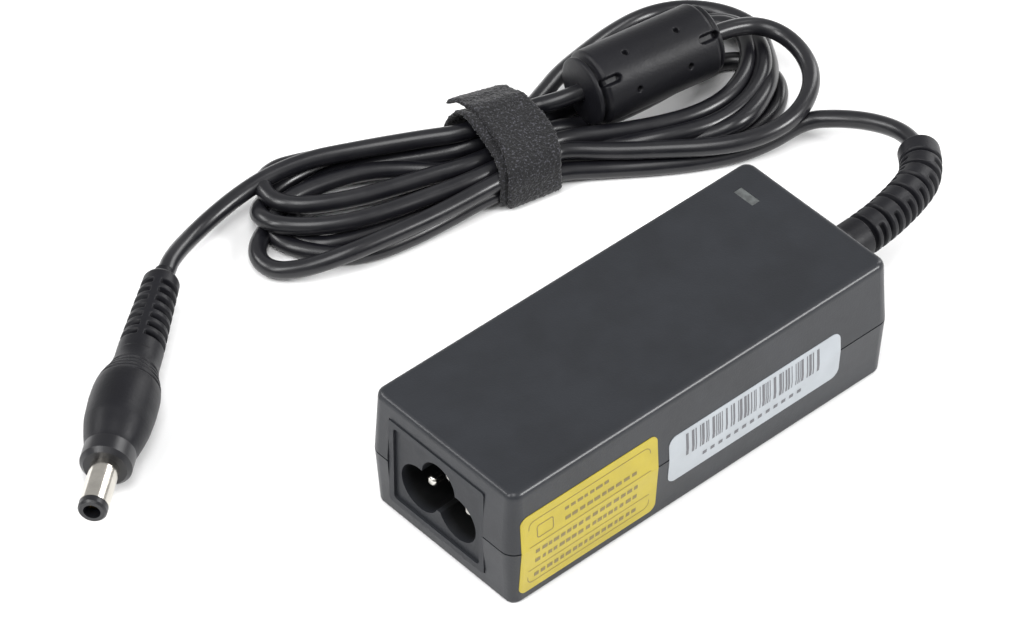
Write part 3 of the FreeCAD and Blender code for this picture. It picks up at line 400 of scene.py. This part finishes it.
# the hank along the cord, in millimetres in the hank's frame: the points of a loop, then the strap, and so on
HANK = [
    # in from the lead, in front of everything
    (50.0, -9.3, 2.4), (43.0, -10.2, 1.75), (35.0, -9.9, 1.75), (27.0, -8.7, 1.75), (18.0, -6.7, 1.8),
    *through_strap(-6.7, -6.6, BOTTOM, -1),
    # left loop in front, on the floor
    (-14.8, -10.6, 1.9), (-23.0, -13.4, 1.75), (-31.2, -15.3, 1.75), (-37.6, -14.0, 1.75),
    (-42.6, -11.2, 1.75), (-46.4, -8.0, 1.75), (-47.8, -3.9, 1.75), (-46.2, -0.2, 2.9),
    (-42.6, 2.2, 3.6), (-36.4, 3.8, 3.8), (-27.0, 5.0, 3.8), (-18.0, 3.6, 3.0), (-12.0, 1.4, 2.7),
    *through_strap(3.0, 3.0, BOTTOM, 1),
    # right loop round the back of the bead
    (15.0, 2.4, 2.0), (25.0, -1.0, 1.75), (33.0, -3.6, 1.9), (39.0, -5.4, 3.6), (43.4, -5.8, 5.1),
    (47.4, -4.0, 5.2), (51.0, -0.4, 5.0), (54.4, 4.4, 4.4), (56.8, 10.4, 3.0), (57.8, 16.4, 2.4),
    (58.4, 22.0, 2.4), (55.6, 27.4, 2.2), (51.0, 31.4, 2.0), (45.2, 33.6, 1.9), (38.2, 33.3, 1.9),
    (30.2, 29.2, 2.8), (23.0, 23.8, 4.0), (16.6, 18.8, 5.0), (11.8, 13.8, 5.6),
    *through_strap(7.6, 7.6, MIDDLE, -1),
    # top left loop
    (-13.0, 7.4, 5.6), (-22.0, 9.4, 4.9), (-32.0, 10.2, 4.6), (-38.4, 10.2, 4.7), (-43.2, 9.6, 5.0),
    (-46.8, 6.4, 5.4), (-46.9, 1.6, 5.6), (-43.6, -1.9, 5.6), (-38.0, -3.1, 5.4), (-31.0, -3.3, 5.2),
    (-23.0, -2.6, 5.2), (-15.0, -1.9, 5.5),
    *through_strap(-0.2, 1.2, MIDDLE, 1),
    # right loop under the bead
    (11.6, 4.2, 4.9), (16.6, 5.6, 2.9), (23.0, 7.4, 1.75), (31.0, 9.8, 1.75), (39.0, 13.0, 1.75),
    (46.0, 15.9, 1.75), (51.6, 15.9, 1.75), (55.6, 12.4, 1.75), (57.4, 7.0, 1.75), (55.4, 1.2, 1.75),
    (51.4, -2.8, 1.75), (46.0, -5.6, 1.75), (38.0, -6.9, 1.75), (28.0, -5.8, 1.75), (18.0, -3.8, 1.8),
    *through_strap(-3.4, -3.3, BOTTOM, -1),
    # left loop under the others
    (-14.0, -6.6, 2.0), (-23.0, -8.4, 1.75), (-31.0, -10.1, 1.75), (-36.4, -10.6, 1.75), (-40.8, -10.0, 1.75),
    (-43.8, -7.0, 1.75), (-43.8, -2.8, 1.75), (-40.8, 0.2, 1.75), (-36.0, 0.6, 1.75), (-27.0, 0.0, 1.75),
    (-17.0, -0.9, 1.9),
    *through_strap(-0.2, -0.1, BOTTOM, 1),
    # middle right loop
    (13.6, -0.2, 2.3), (20.0, -2.4, 3.4), (27.0, -4.2, 4.7), (34.0, -4.4, 4.9), (40.2, -3.6, 4.6),
    (46.4, -0.8, 4.6), (51.4, 3.2, 4.9), (54.8, 8.4, 5.3), (56.2, 14.4, 5.3), (55.6, 20.4, 4.6),
    (52.6, 25.8, 3.2), (47.4, 27.4, 2.4), (40.0, 25.8, 1.9), (32.0, 22.6, 1.75), (24.0, 18.4, 1.75),
    (17.0, 14.2, 1.8), (12.0, 10.8, 2.3),
    *through_strap(6.6, 6.6, BOTTOM, -1),
    # outermost left loop
    (-13.0, 7.2, 2.2), (-21.0, 10.4, 1.75), (-29.0, 11.4, 1.75), (-36.0, 10.6, 1.75), (-41.6, 8.6, 1.75),
    (-46.4, 5.0, 1.8), (-48.9, 1.2, 3.2), (-49.5, -2.4, 4.8), (-47.9, -5.4, 5.3), (-44.5, -7.4, 5.3),
    (-39.6, -8.8, 5.3), (-34.0, -9.4, 5.2), (-26.0, -8.7, 5.2), (-19.4, -7.5, 5.2), (-13.2, -6.6, 5.5),
    *through_strap(-4.0, -2.2, MIDDLE, 1),
    # inner right loop
    (13.0, 0.4, 5.4), (21.3, -0.6, 5.1), (30.3, -1.0, 5.0), (38.0, -0.4, 5.0), (44.8, 2.2, 5.0),
    (49.8, 6.6, 5.1), (53.0, 12.0, 5.2), (54.2, 17.2, 5.2), (53.6, 21.2, 5.0), (51.0, 24.0, 4.6),
    (47.0, 24.8, 3.8), (41.0, 22.2, 2.6), (33.0, 19.0, 1.9), (25.0, 15.4, 1.9), (18.0, 11.8, 2.6),
    (12.0, 8.4, 4.4),
    *through_strap(4.4, 4.4, MIDDLE, -1),
    # front left loop
    (-13.0, 4.2, 4.6), (-20.0, 6.8, 3.0), (-27.6, 8.6, 1.9), (-34.0, 7.6, 1.75), (-39.4, 5.0, 1.75),
    (-44.6, 1.0, 1.75), (-48.8, -3.2, 1.75), (-51.6, -7.0, 1.75), (-52.2, -10.8, 1.8), (-50.6, -14.2, 2.0),
    (-47.0, -16.2, 2.7), (-42.4, -17.1, 3.7), (-36.0, -17.2, 5.0), (-28.0, -15.3, 5.2), (-19.4, -12.9, 5.2),
    (-12.4, -10.7, 5.5),
    *through_strap(-7.4, -5.5, MIDDLE, 1),
    # outer right loop, and back through the bead
    (10.6, -3.0, 5.7), (19.4, -5.7, 5.2), (28.6, -8.2, 5.3), (37.8, -10.8, 5.6), (45.4, -11.6, 6.0),
    (52.8, -9.8, 6.5), (58.4, -5.6, 7.1), (61.8, 0.4, 7.8), (62.0, 7.2, 8.4), (59.6, 12.8, 9.1),
    (55.4, 15.6, 9.8), (50.4, 15.2, 10.7), (44.95, 13.9, 11.0), (35.5, 11.26, 11.0), (26.0, 8.62, 11.0),
    (16.6, 6.0, 11.0), (11.4, 5.9, 10.1),
    *through_strap(5.4, 5.4, TOP, -1),
    # the tail
    (-14.0, 5.4, 8.3), (-21.4, 6.8, 7.5), (-29.0, 7.6, 7.1), (-36.6, 7.9, 7.0), (-44.8, 6.7, 6.3),
    (-51.6, 4.3, 5.2), (-57.8, 0.9, 4.4), (-63.2, -3.3, 4.4), (-67.8, -8.4, 5.7),
]
# the cord goes on inside the plug's grip, up to the collar, in millimetres in the part's frame
TAIL = [PLUG_START, (-73.0, 58.27, 6.0)]


def nurbs(name, points, bevel=0.0):
    """A smooth curve with those control points, and a round section of that radius."""
    data = bpy.data.curves.new(name, "CURVE")
    data.dimensions = "3D"
    spline = data.splines.new("NURBS")
    spline.points.add(len(points) - 1)
    for control, point in zip(spline.points, points):
        control.co = (*point, 1.0)
    spline.order_u = 3
    spline.use_endpoint_u = True
    data.resolution_u = 10
    data.bevel_depth = bevel
    data.bevel_resolution = 7
    data.use_fill_caps = True
    curve = bpy.data.objects.new(name, data)
    SCENE.collection.objects.link(curve)
    return curve


def add_cord():
    """The output cord from the boot to the plug: one spline, in place of the CAD's three plain solids."""
    points = [mm(*point) for point in LEAD]
    points += [in_hank(*point) for point in HANK]
    points += [mm(*point) for point in TAIL]
    cord = nurbs("output_cord", points, CORD_DIAMETER / 2)
    cord.data.materials.append(MATERIALS["cord_pvc"])
    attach(cord, "root")
    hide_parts("cord_lead", "cord_hank", "cord_tail")
    return cord


def centreline(points):
    """Points along the smooth curve that has those control points, and the distance to each."""
    guide = nurbs("guide", points)
    guide.data.resolution_u = 40
    mesh = bpy.data.meshes.new_from_object(guide)
    line = [vertex.co.copy() for vertex in mesh.vertices]
    bpy.data.objects.remove(guide)
    bpy.data.meshes.remove(mesh)
    travelled = [0.0]
    for before, after in zip(line, line[1:]):
        travelled.append(travelled[-1] + (after - before).length)
    return line, travelled


def at_distance(line, travelled, distance):
    """The point and heading at a distance along a line."""
    index = 0
    while index < len(line) - 2 and travelled[index + 1] < distance:
        index += 1
    step = line[index + 1] - line[index]
    share = (distance - travelled[index]) / step.length
    return line[index] + step * share, step.normalized()


# ---- moulded sleeves: boot, bead and plug grip ------------------------------------------------------


def smooth_step(value, low, high):
    """0 up to low, 1 from high on, and a smooth rise between them."""
    share = min(max((value - low) / (high - low), 0.0), 1.0)
    return share * share * (3 - 2 * share)


def band(value, centre, width, edge=0.12):
    """1 inside a band of that width and 0 outside it, with slightly rounded edges."""
    return 1.0 - smooth_step(abs(value - centre), width / 2 - edge, width / 2 + edge)


def along_profile(profile, distance):
    """The radius of a profile, which is a list of (distance, radius), at a distance."""
    for (low, low_radius), (high, high_radius) in zip(profile, profile[1:]):
        if distance <= high:
            share = (distance - low) / (high - low)
            return low_radius + (high_radius - low_radius) * share
    return profile[-1][1]


def sleeve(name, axis, length, radius, slot, step=0.22, around=128):
    """A closed tube about an axis in part coordinates. radius(distance, angle) is in millimetres;
    the angle is 0 at the top and grows towards the right-hand side, seen from the start."""
    line, travelled = axis
    rings = max(int(length / step), 2)
    points, faces = [], []
    for ring in range(rings + 1):
        distance = length * ring / rings
        centre, heading = at_distance(line, travelled, distance * MM)
        right = heading.cross(Vector((0, 0, 1))).normalized()
        up = right.cross(heading).normalized()
        for corner in range(around):
            angle = 2 * math.pi * corner / around
            reach = radius(distance, angle) * MM
            points.append(centre + (up * math.cos(angle) + right * math.sin(angle)) * reach)
    for ring in range(rings):
        for corner in range(around):
            following = (corner + 1) % around
            low, high = ring * around, (ring + 1) * around
            faces.append((low + corner, low + following, high + following, high + corner))
    faces.append(tuple(range(around)))
    faces.append(tuple(rings * around + corner for corner in reversed(range(around))))
    return add_piece(name, closed_mesh(name, points, faces), slot)


BOOT_ROUTE = [(46.5, 0, 13.1), (58.5, -0.2, 12.9), (72.4, 2.8, 11.8), (80.6, 6.6, 10.8), (84.5, 12.2, 10.05)]
BOOT_GROOVES = 7
BOOT_FOOT_LENGTH = 11.5
BOOT_TIP_LENGTH = 5.0
BOOT_CORE = 1.9


def add_boot():
    """The ribbed strain relief: a flared foot, ring grooves, short side slots between them and a tip collar."""
    axis = centreline([mm(*point) for point in BOOT_ROUTE])
    length = axis[1][-1] / MM
    first, last = BOOT_FOOT_LENGTH, length - BOOT_TIP_LENGTH
    pitch = (last - first) / (BOOT_GROOVES - 1)

    def radius(distance, angle):
        taper = 4.35 + (2.85 - 4.35) * distance / length
        flare = 7.5 - 3.4 * smooth_step(distance, 0.0, 7.0)
        skin = max(taper, flare)
        on_side = band(abs(math.cos(angle)), 0.0, 1.5, 0.06)
        depth = 0.0
        for groove in range(BOOT_GROOVES):
            depth = max(depth, band(distance, first + groove * pitch, 1.0, 0.15) * 1.4)
            if groove < BOOT_GROOVES - 1:
                slot = band(distance, first + (groove + 0.5) * pitch, 0.95, 0.15)
                depth = max(depth, slot * on_side * 1.3)
        end = smooth_step(length - distance, 0.0, 0.8)
        return BOOT_CORE + (skin - depth - BOOT_CORE) * (0.75 + 0.25 * end)

    boot = sleeve("ribbed_boot", axis, length, radius, "moulded_pvc", step=0.16)
    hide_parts("case_strain_relief")


BEAD_START = (16.6, 6.0, 11.0)
BEAD_TURN = math.radians(15.6)
BEAD_LENGTH = 29.4
BEAD_RADIUS = 7.6
BEAD_PROFILE = [
    (0.0, 2.6), (0.15, 6.4), (0.45, 6.85), (1.0, 6.9), (1.2, 6.7), (1.3, 5.9), (1.85, 5.9), (1.95, 6.9),
    (2.2, 7.3), (2.7, BEAD_RADIUS), (27.0, BEAD_RADIUS), (27.5, 7.4), (27.7, 6.9), (28.0, 6.6), (28.3, 6.8),
    (28.8, 6.8), (29.2, 6.3), (29.4, 2.6),
]
BEAD_HOLE_ANGLES = (15, 75, 195, 255)
BEAD_HOLE_PLACES = (0.3, 0.7)
BEAD_NOTCH_ANGLE = 45
BEAD_NOTCH_CENTRES = (3.4, BEAD_LENGTH - 3.2)


def add_bead():
    """The ferrite bead's moulded cover: rounded ends, locating-pin holes and a notch at each end."""
    start = in_hank(*BEAD_START)
    heading = Matrix.Rotation(HANK_ANGLE + BEAD_TURN, 3, "Z") @ Vector((1, 0, 0))
    line = [start, start + heading * BEAD_LENGTH * MM]
    axis = line, [0.0, BEAD_LENGTH * MM]

    def around_from(turn, row):
        """The distance round the cover from a row, both given as angles in degrees."""
        return math.radians((turn - row + 180) % 360 - 180) * BEAD_RADIUS

    def radius(distance, angle):
        skin = along_profile(BEAD_PROFILE, distance)
        turn = math.degrees(angle)
        for column in BEAD_HOLE_PLACES:
            for row in BEAD_HOLE_ANGLES:
                reach = math.hypot(around_from(turn, row), distance - column * BEAD_LENGTH)
                skin -= 1.1 * (1 - smooth_step(reach, 0.42, 0.68))
        for centre in BEAD_NOTCH_CENTRES:
            beside = around_from(turn, BEAD_NOTCH_ANGLE)
            reach = math.hypot(beside, max(abs(distance - centre) - 1.5, 0.0))
            skin -= 1.3 * (1 - smooth_step(reach, 0.65, 0.95))
        return max(skin, 1.8)

    bead = sleeve("ferrite_bead", axis, BEAD_LENGTH, radius, "moulded_pvc", step=0.14, around=300)
    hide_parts("ferrite_bead_cover")
    return bead


GRIP_PROFILE = [
    (0.0, 1.9), (2.1, 1.9), (2.3, 3.1), (3.0, 3.5), (20.6, 4.3), (26.0, 4.35), (28.5, 4.9), (31.0, 5.9),
    (33.5, 6.35), (37.5, 6.45), (42.0, 6.2), (45.0, 5.6), (48.0, 4.8),
]
# distances along the grip, and how far its middle rises there, because the bulb is wider than the plug is high
GRIP_RISE = [(0.0, 0.0), (24.0, 0.0), (36.0, 0.5), (42.0, 0.5), (48.0, 0.0)]
GRIP_SLOTS = [5.9 + 2.42 * number for number in range(7)]
GRIP_RINGS = [28.0 + 1.35 * number for number in range(4)]


def add_grip():
    """The plug's grip: a slotted strain relief, fine rings and a smooth bulb."""
    start = mm(*PLUG_START)
    length = GRIP_PROFILE[-1][0]
    heading = Matrix.Rotation(PLUG_ANGLE, 3, "Z") @ Vector((1, 0, 0))
    line = [start + heading * distance * MM + mm(0, 0, rise) for distance, rise in GRIP_RISE]
    axis = line, [distance * MM for distance, rise in GRIP_RISE]

    def radius(distance, angle):
        if distance < 4.0:
            skin = along_profile(GRIP_PROFILE, distance)
        else:
            skin = sum(along_profile(GRIP_PROFILE, distance + shift) for shift in (-0.9, -0.3, 0.3, 0.9)) / 4
        slotted = max(band(distance, slot, 1.15, 0.12) for slot in GRIP_SLOTS)
        spine = 0.7 / max(abs(math.sin(angle)), 0.05)
        core = max(min(skin, spine), 1.85)
        skin += (core - skin) * slotted
        for ring in GRIP_RINGS:
            skin -= 0.45 * band(distance, ring, 0.5, 0.2)
        return skin

    grip = sleeve("slotted_grip", axis, length, radius, "moulded_pvc", step=0.16, around=144)
    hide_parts("plug_grip")
    return grip


# ---- strap ------------------------------------------------------------------------------------------

STRAP_CENTRE = 2.2
STRAP_ANGLE = HANK_ANGLE + math.atan(STRAP_SLOPE)
STRAP_WIDTH = 11.5
STRAP_STRANDS = [
    (-6.7, BOTTOM), (-3.4, BOTTOM), (-0.2, BOTTOM), (3.0, BOTTOM), (6.6, BOTTOM),
    (-6.5, MIDDLE), (-3.1, MIDDLE), (0.5, MIDDLE), (4.4, MIDDLE), (7.6, MIDDLE), (5.4, TOP),
]
STRAP_THICKNESS = 0.95
# the side and height of the free tail's middle, in the strap's section
STRAP_TAIL = [(13.6, 9.8), (12.6, 10.9), (11.0, 12.0)]
STRAP_TAIL_ANGLE = 56
STRAP_TURN = 540
STRAP_STEP = 0.28
STRAP_COLUMNS = 42


def strap_section():
    """The strap's middle line round the strands, in millimetres, from its free end to its hidden end."""
    centres = [Vector(((side + STRAP_SLOPE * STRAP_CENTRE) * 0.977, height)) for side, height in STRAP_STRANDS]
    line = [Vector(point) for point in STRAP_TAIL]
    for degrees in range(STRAP_TAIL_ANGLE, STRAP_TAIL_ANGLE + STRAP_TURN, 4):
        out = Vector((math.cos(math.radians(degrees)), math.sin(math.radians(degrees))))
        outermost = max(centres, key=lambda centre: centre.dot(out))
        outer_layer = 1 - smooth_step(degrees, 250, 380)
        by_the_tail = 1 - smooth_step(degrees, 60, 125)
        point = outermost + out * (1.75 + (0.55 + 1.1 * outer_layer + 0.9 * by_the_tail))
        line.append(Vector((point.x, max(point.y, 0.55))))
    return line


def evenly(line, step):
    """The line's own shape at even steps of about that length, with its corners eased."""
    travelled = [0.0]
    for before, after in zip(line, line[1:]):
        travelled.append(travelled[-1] + (after - before).length)
    count = int(travelled[-1] / step)
    even = [line[0]]
    index = 0
    for number in range(1, count):
        distance = travelled[-1] * number / count
        while travelled[index + 1] < distance:
            index += 1
        share = (distance - travelled[index]) / (travelled[index + 1] - travelled[index])
        even.append(line[index].lerp(line[index + 1], share))
    for _ in range(6):
        eased = [(a + b * 2 + c) / 4 for a, b, c in zip(even, even[1:], even[2:])]
        even = [even[0], *eased, even[-1]]
    return even


def add_strap():
    """The strap: a tufted band with ragged edges, one and a half turns round the strands."""
    line = evenly(strap_section(), STRAP_STEP)
    centre = in_hank(STRAP_CENTRE, 0, 0)
    along = Matrix.Rotation(STRAP_ANGLE, 3, "Z")
    half_width = STRAP_WIDTH / 2
    border = 0.93
    points, faces = [], []
    for index, middle in enumerate(line):
        before, after = line[max(index - 1, 0)], line[min(index + 1, len(line) - 1)]
        tangent = (after - before).normalized()
        outward = Vector((tangent.y, -tangent.x))
        # shares, from 0 to 1, of the free tail, of the inner layer, and of its hump beside the outer one
        distance = index * STRAP_STEP
        free = 1 - smooth_step(distance, 4.0, 15.0)
        inner = smooth_step(distance, 34.0, 52.0)
        hump = smooth_step(distance, 46.0, 54.0) * (1 - smooth_step(distance, 60.0, 70.0))
        lean = 0.4 - 0.035 * (middle.x + 1.5) ** 2 * (0.2 if middle.x > -1.5 else 1.0)
        slide = max(lean, -2.6) - 0.9 * free - 1.7 * inner - 0.9 * hump
        for face in (1, -1):
            for column in range(STRAP_COLUMNS + 1):
                share = (2 * column / STRAP_COLUMNS - 1) * face
                ragged = 0.0
                if abs(share) > border:
                    ragged = 0.35 * noise.noise(Vector((index * 0.9, face * share * 0.5, 3.0)))
                seed = Vector((distance, share * half_width, face * 7.0))
                tuft = 0.16 * noise.noise(seed * 2.1) + 0.12 * noise.noise(seed * 5.0)
                edge = 1 - smooth_step(abs(share), border, 1.0) * 0.75
                lift = face * (STRAP_THICKNESS / 2 * edge + tuft) + hump * (1 - share)
                width = share * (half_width + ragged)
                spot = middle + outward * lift
                place = Vector((width + slide, spot.x, spot.y - 0.12 * width * free))
                points.append(centre + along @ (place * MM))
    row = 2 * (STRAP_COLUMNS + 1)
    for index in range(len(line) - 1):
        for column in range(row):
            following = (column + 1) % row
            low, high = index * row, (index + 1) * row
            faces.append((low + column, low + following, high + following, high + column))
    for index, order in ((0, 1), (len(line) - 1, -1)):
        for column in range(STRAP_COLUMNS):
            first = index * row + column
            other = index * row + row - 1 - column
            faces.append((first, first + 1, other - 1, other)[::order])
    strap = add_piece("hook_and_loop_strap", closed_mesh("strap", points, faces), "strap_fabric")
    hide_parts("cord_strap")
    return strap


# ---- printing on the labels -------------------------------------------------------------------------

PARTING_HEIGHT = 13.1
LABEL_FACE = 19.52
UPPER_LEAN = 0.0577
LOWER_LEAN = 0.0699
INK_HEIGHT = 0.03


def wall_y(height):
    """The y of the labels' face at a height: the case's wall leans in both ways from the parting line."""
    above = height - PARTING_HEIGHT
    return -(LABEL_FACE - above * UPPER_LEAN) if above > 0 else -(LABEL_FACE + above * LOWER_LEAN)


def ribbon(corners, width, closed=False):
    """A line of ink on the labels' face, through (x, z) corners: its points and faces."""
    points, faces = [], []
    count = len(corners)
    for index, corner in enumerate(corners):
        before = corners[(index - 1) % count] if closed or index else corner
        after = corners[(index + 1) % count] if closed or index < count - 1 else corner
        heading = (Vector(after) - Vector(before)).normalized()
        for side in (width / 2, -width / 2):
            x, z = corner[0] - heading.y * side, corner[1] + heading.x * side
            points.append(mm(x, wall_y(z) - INK_HEIGHT, z))
    for index in range(count if closed else count - 1):
        low, high = 2 * index, 2 * ((index + 1) % count)
        faces.append((low, high, high + 1, low + 1))
    return points, faces


def bar(x, low_z, high_z, width):
    """An upright bar, with a corner where the wall's lean changes."""
    heights = [low_z, high_z]
    if low_z < PARTING_HEIGHT < high_z:
        heights.insert(1, PARTING_HEIGHT)
    return ribbon([(x, z) for z in heights], width)


def print_ink(name, marks, slot, ink):
    """Joins marks into one printed piece."""
    points, faces = [], []
    for mark_points, mark_faces in marks:
        faces += [tuple(len(points) + corner for corner in face) for face in mark_faces]
        points += mark_points
    return add_piece(name, mesh_from(name, points, faces), slot, smooth=False, finish=ink)


def rounded_outline(low_x, high_x, low_z, high_z, radius):
    """The (x, z) corners of a rectangle with rounded corners, anticlockwise from its top right."""
    corners = []
    middles = [(high_x - radius, high_z - radius), (low_x + radius, high_z - radius),
               (low_x + radius, low_z + radius), (high_x - radius, low_z + radius)]
    for quarter, (x, z) in enumerate(middles):
        for step in range(7):
            angle = math.radians(90 * quarter + 15 * step)
            corners.append((x + radius * math.cos(angle), z + radius * math.sin(angle)))
    return corners


def row_of_marks(chance, low_x, high_x, z, height, shortest, longest):
    """Plain dashes of uneven length in a row, where the real label has a line of words."""
    marks = []
    x = low_x
    while x < high_x - shortest:
        end = min(x + chance.uniform(shortest, longest), high_x)
        marks.append(ribbon([(x, z), (end, z)], height))
        x = end + chance.uniform(0.3, 0.6)
    return marks


def print_caution_label():
    """A border, two rules, a small frame and rows of plain dashes; there are no words and no symbol."""
    chance = random.Random(3)
    left, right, rule = -42.5, -13.5, 0.16
    marks = [ribbon(rounded_outline(left, right, 4.0, 19.4, 1.3), rule, closed=True)]
    marks += [ribbon([(left, z), (right, z)], rule) for z in (13.6, 7.4)]
    marks.append(ribbon(rounded_outline(-40.6, -36.8, 14.9, 17.7, 0.5), 0.2, closed=True))
    marks += row_of_marks(chance, -34.0, -23.5, 17.6, 0.7, 0.8, 1.6)
    marks += row_of_marks(chance, -34.0, -16.5, 15.3, 0.8, 0.8, 1.6)
    for z in (11.7, 9.3, 5.6):
        marks += row_of_marks(chance, -41.0, -16.5, z, 0.95, 0.7, 1.3)
    print_ink("caution_label_print", marks, "caution_label", "label_ink")


def print_barcode_label():
    """Upright bars of uneven width that encode nothing, over a row of dashes in place of digits."""
    chance = random.Random(11)
    marks = []
    x = -4.9
    while x < 27.9:
        width = chance.choice((0.2, 0.28, 0.42, 0.6))
        marks.append(bar(x + width / 2, 11.6, 16.9, width))
        x += width + chance.choice((0.22, 0.3, 0.45, 0.8))
    for number in range(13):
        x = -0.6 + number * 1.95
        marks.append(ribbon([(x, 9.3), (x + 1.0, 9.3)], 0.85))
    print_ink("barcode_label_print", marks, "barcode_label", "faded_ink")


# ---- the scene --------------------------------------------------------------------------------------


def add_floor():
    """A plain square floor, 6 m wide."""
    reach = 3.0
    corners = [(-reach, -reach, 0), (reach, -reach, 0), (reach, reach, 0), (-reach, reach, 0)]
    floor = bpy.data.objects.new("floor", mesh_from("floor", corners, [(0, 1, 2, 3)]))
    floor.data.materials.append(MATERIALS["floor"])
    SCENE.collection.objects.link(floor)


for stray in list(bpy.data.objects):
    if stray.type in ("CAMERA", "LIGHT"):
        bpy.data.objects.remove(stray)
add_camera()
add_studio()
add_floor()
dress_nodes()
cord = add_cord()
add_boot()
bead = add_bead()
grip = add_grip()
strap = add_strap()
print_caution_label()
print_barcode_label()
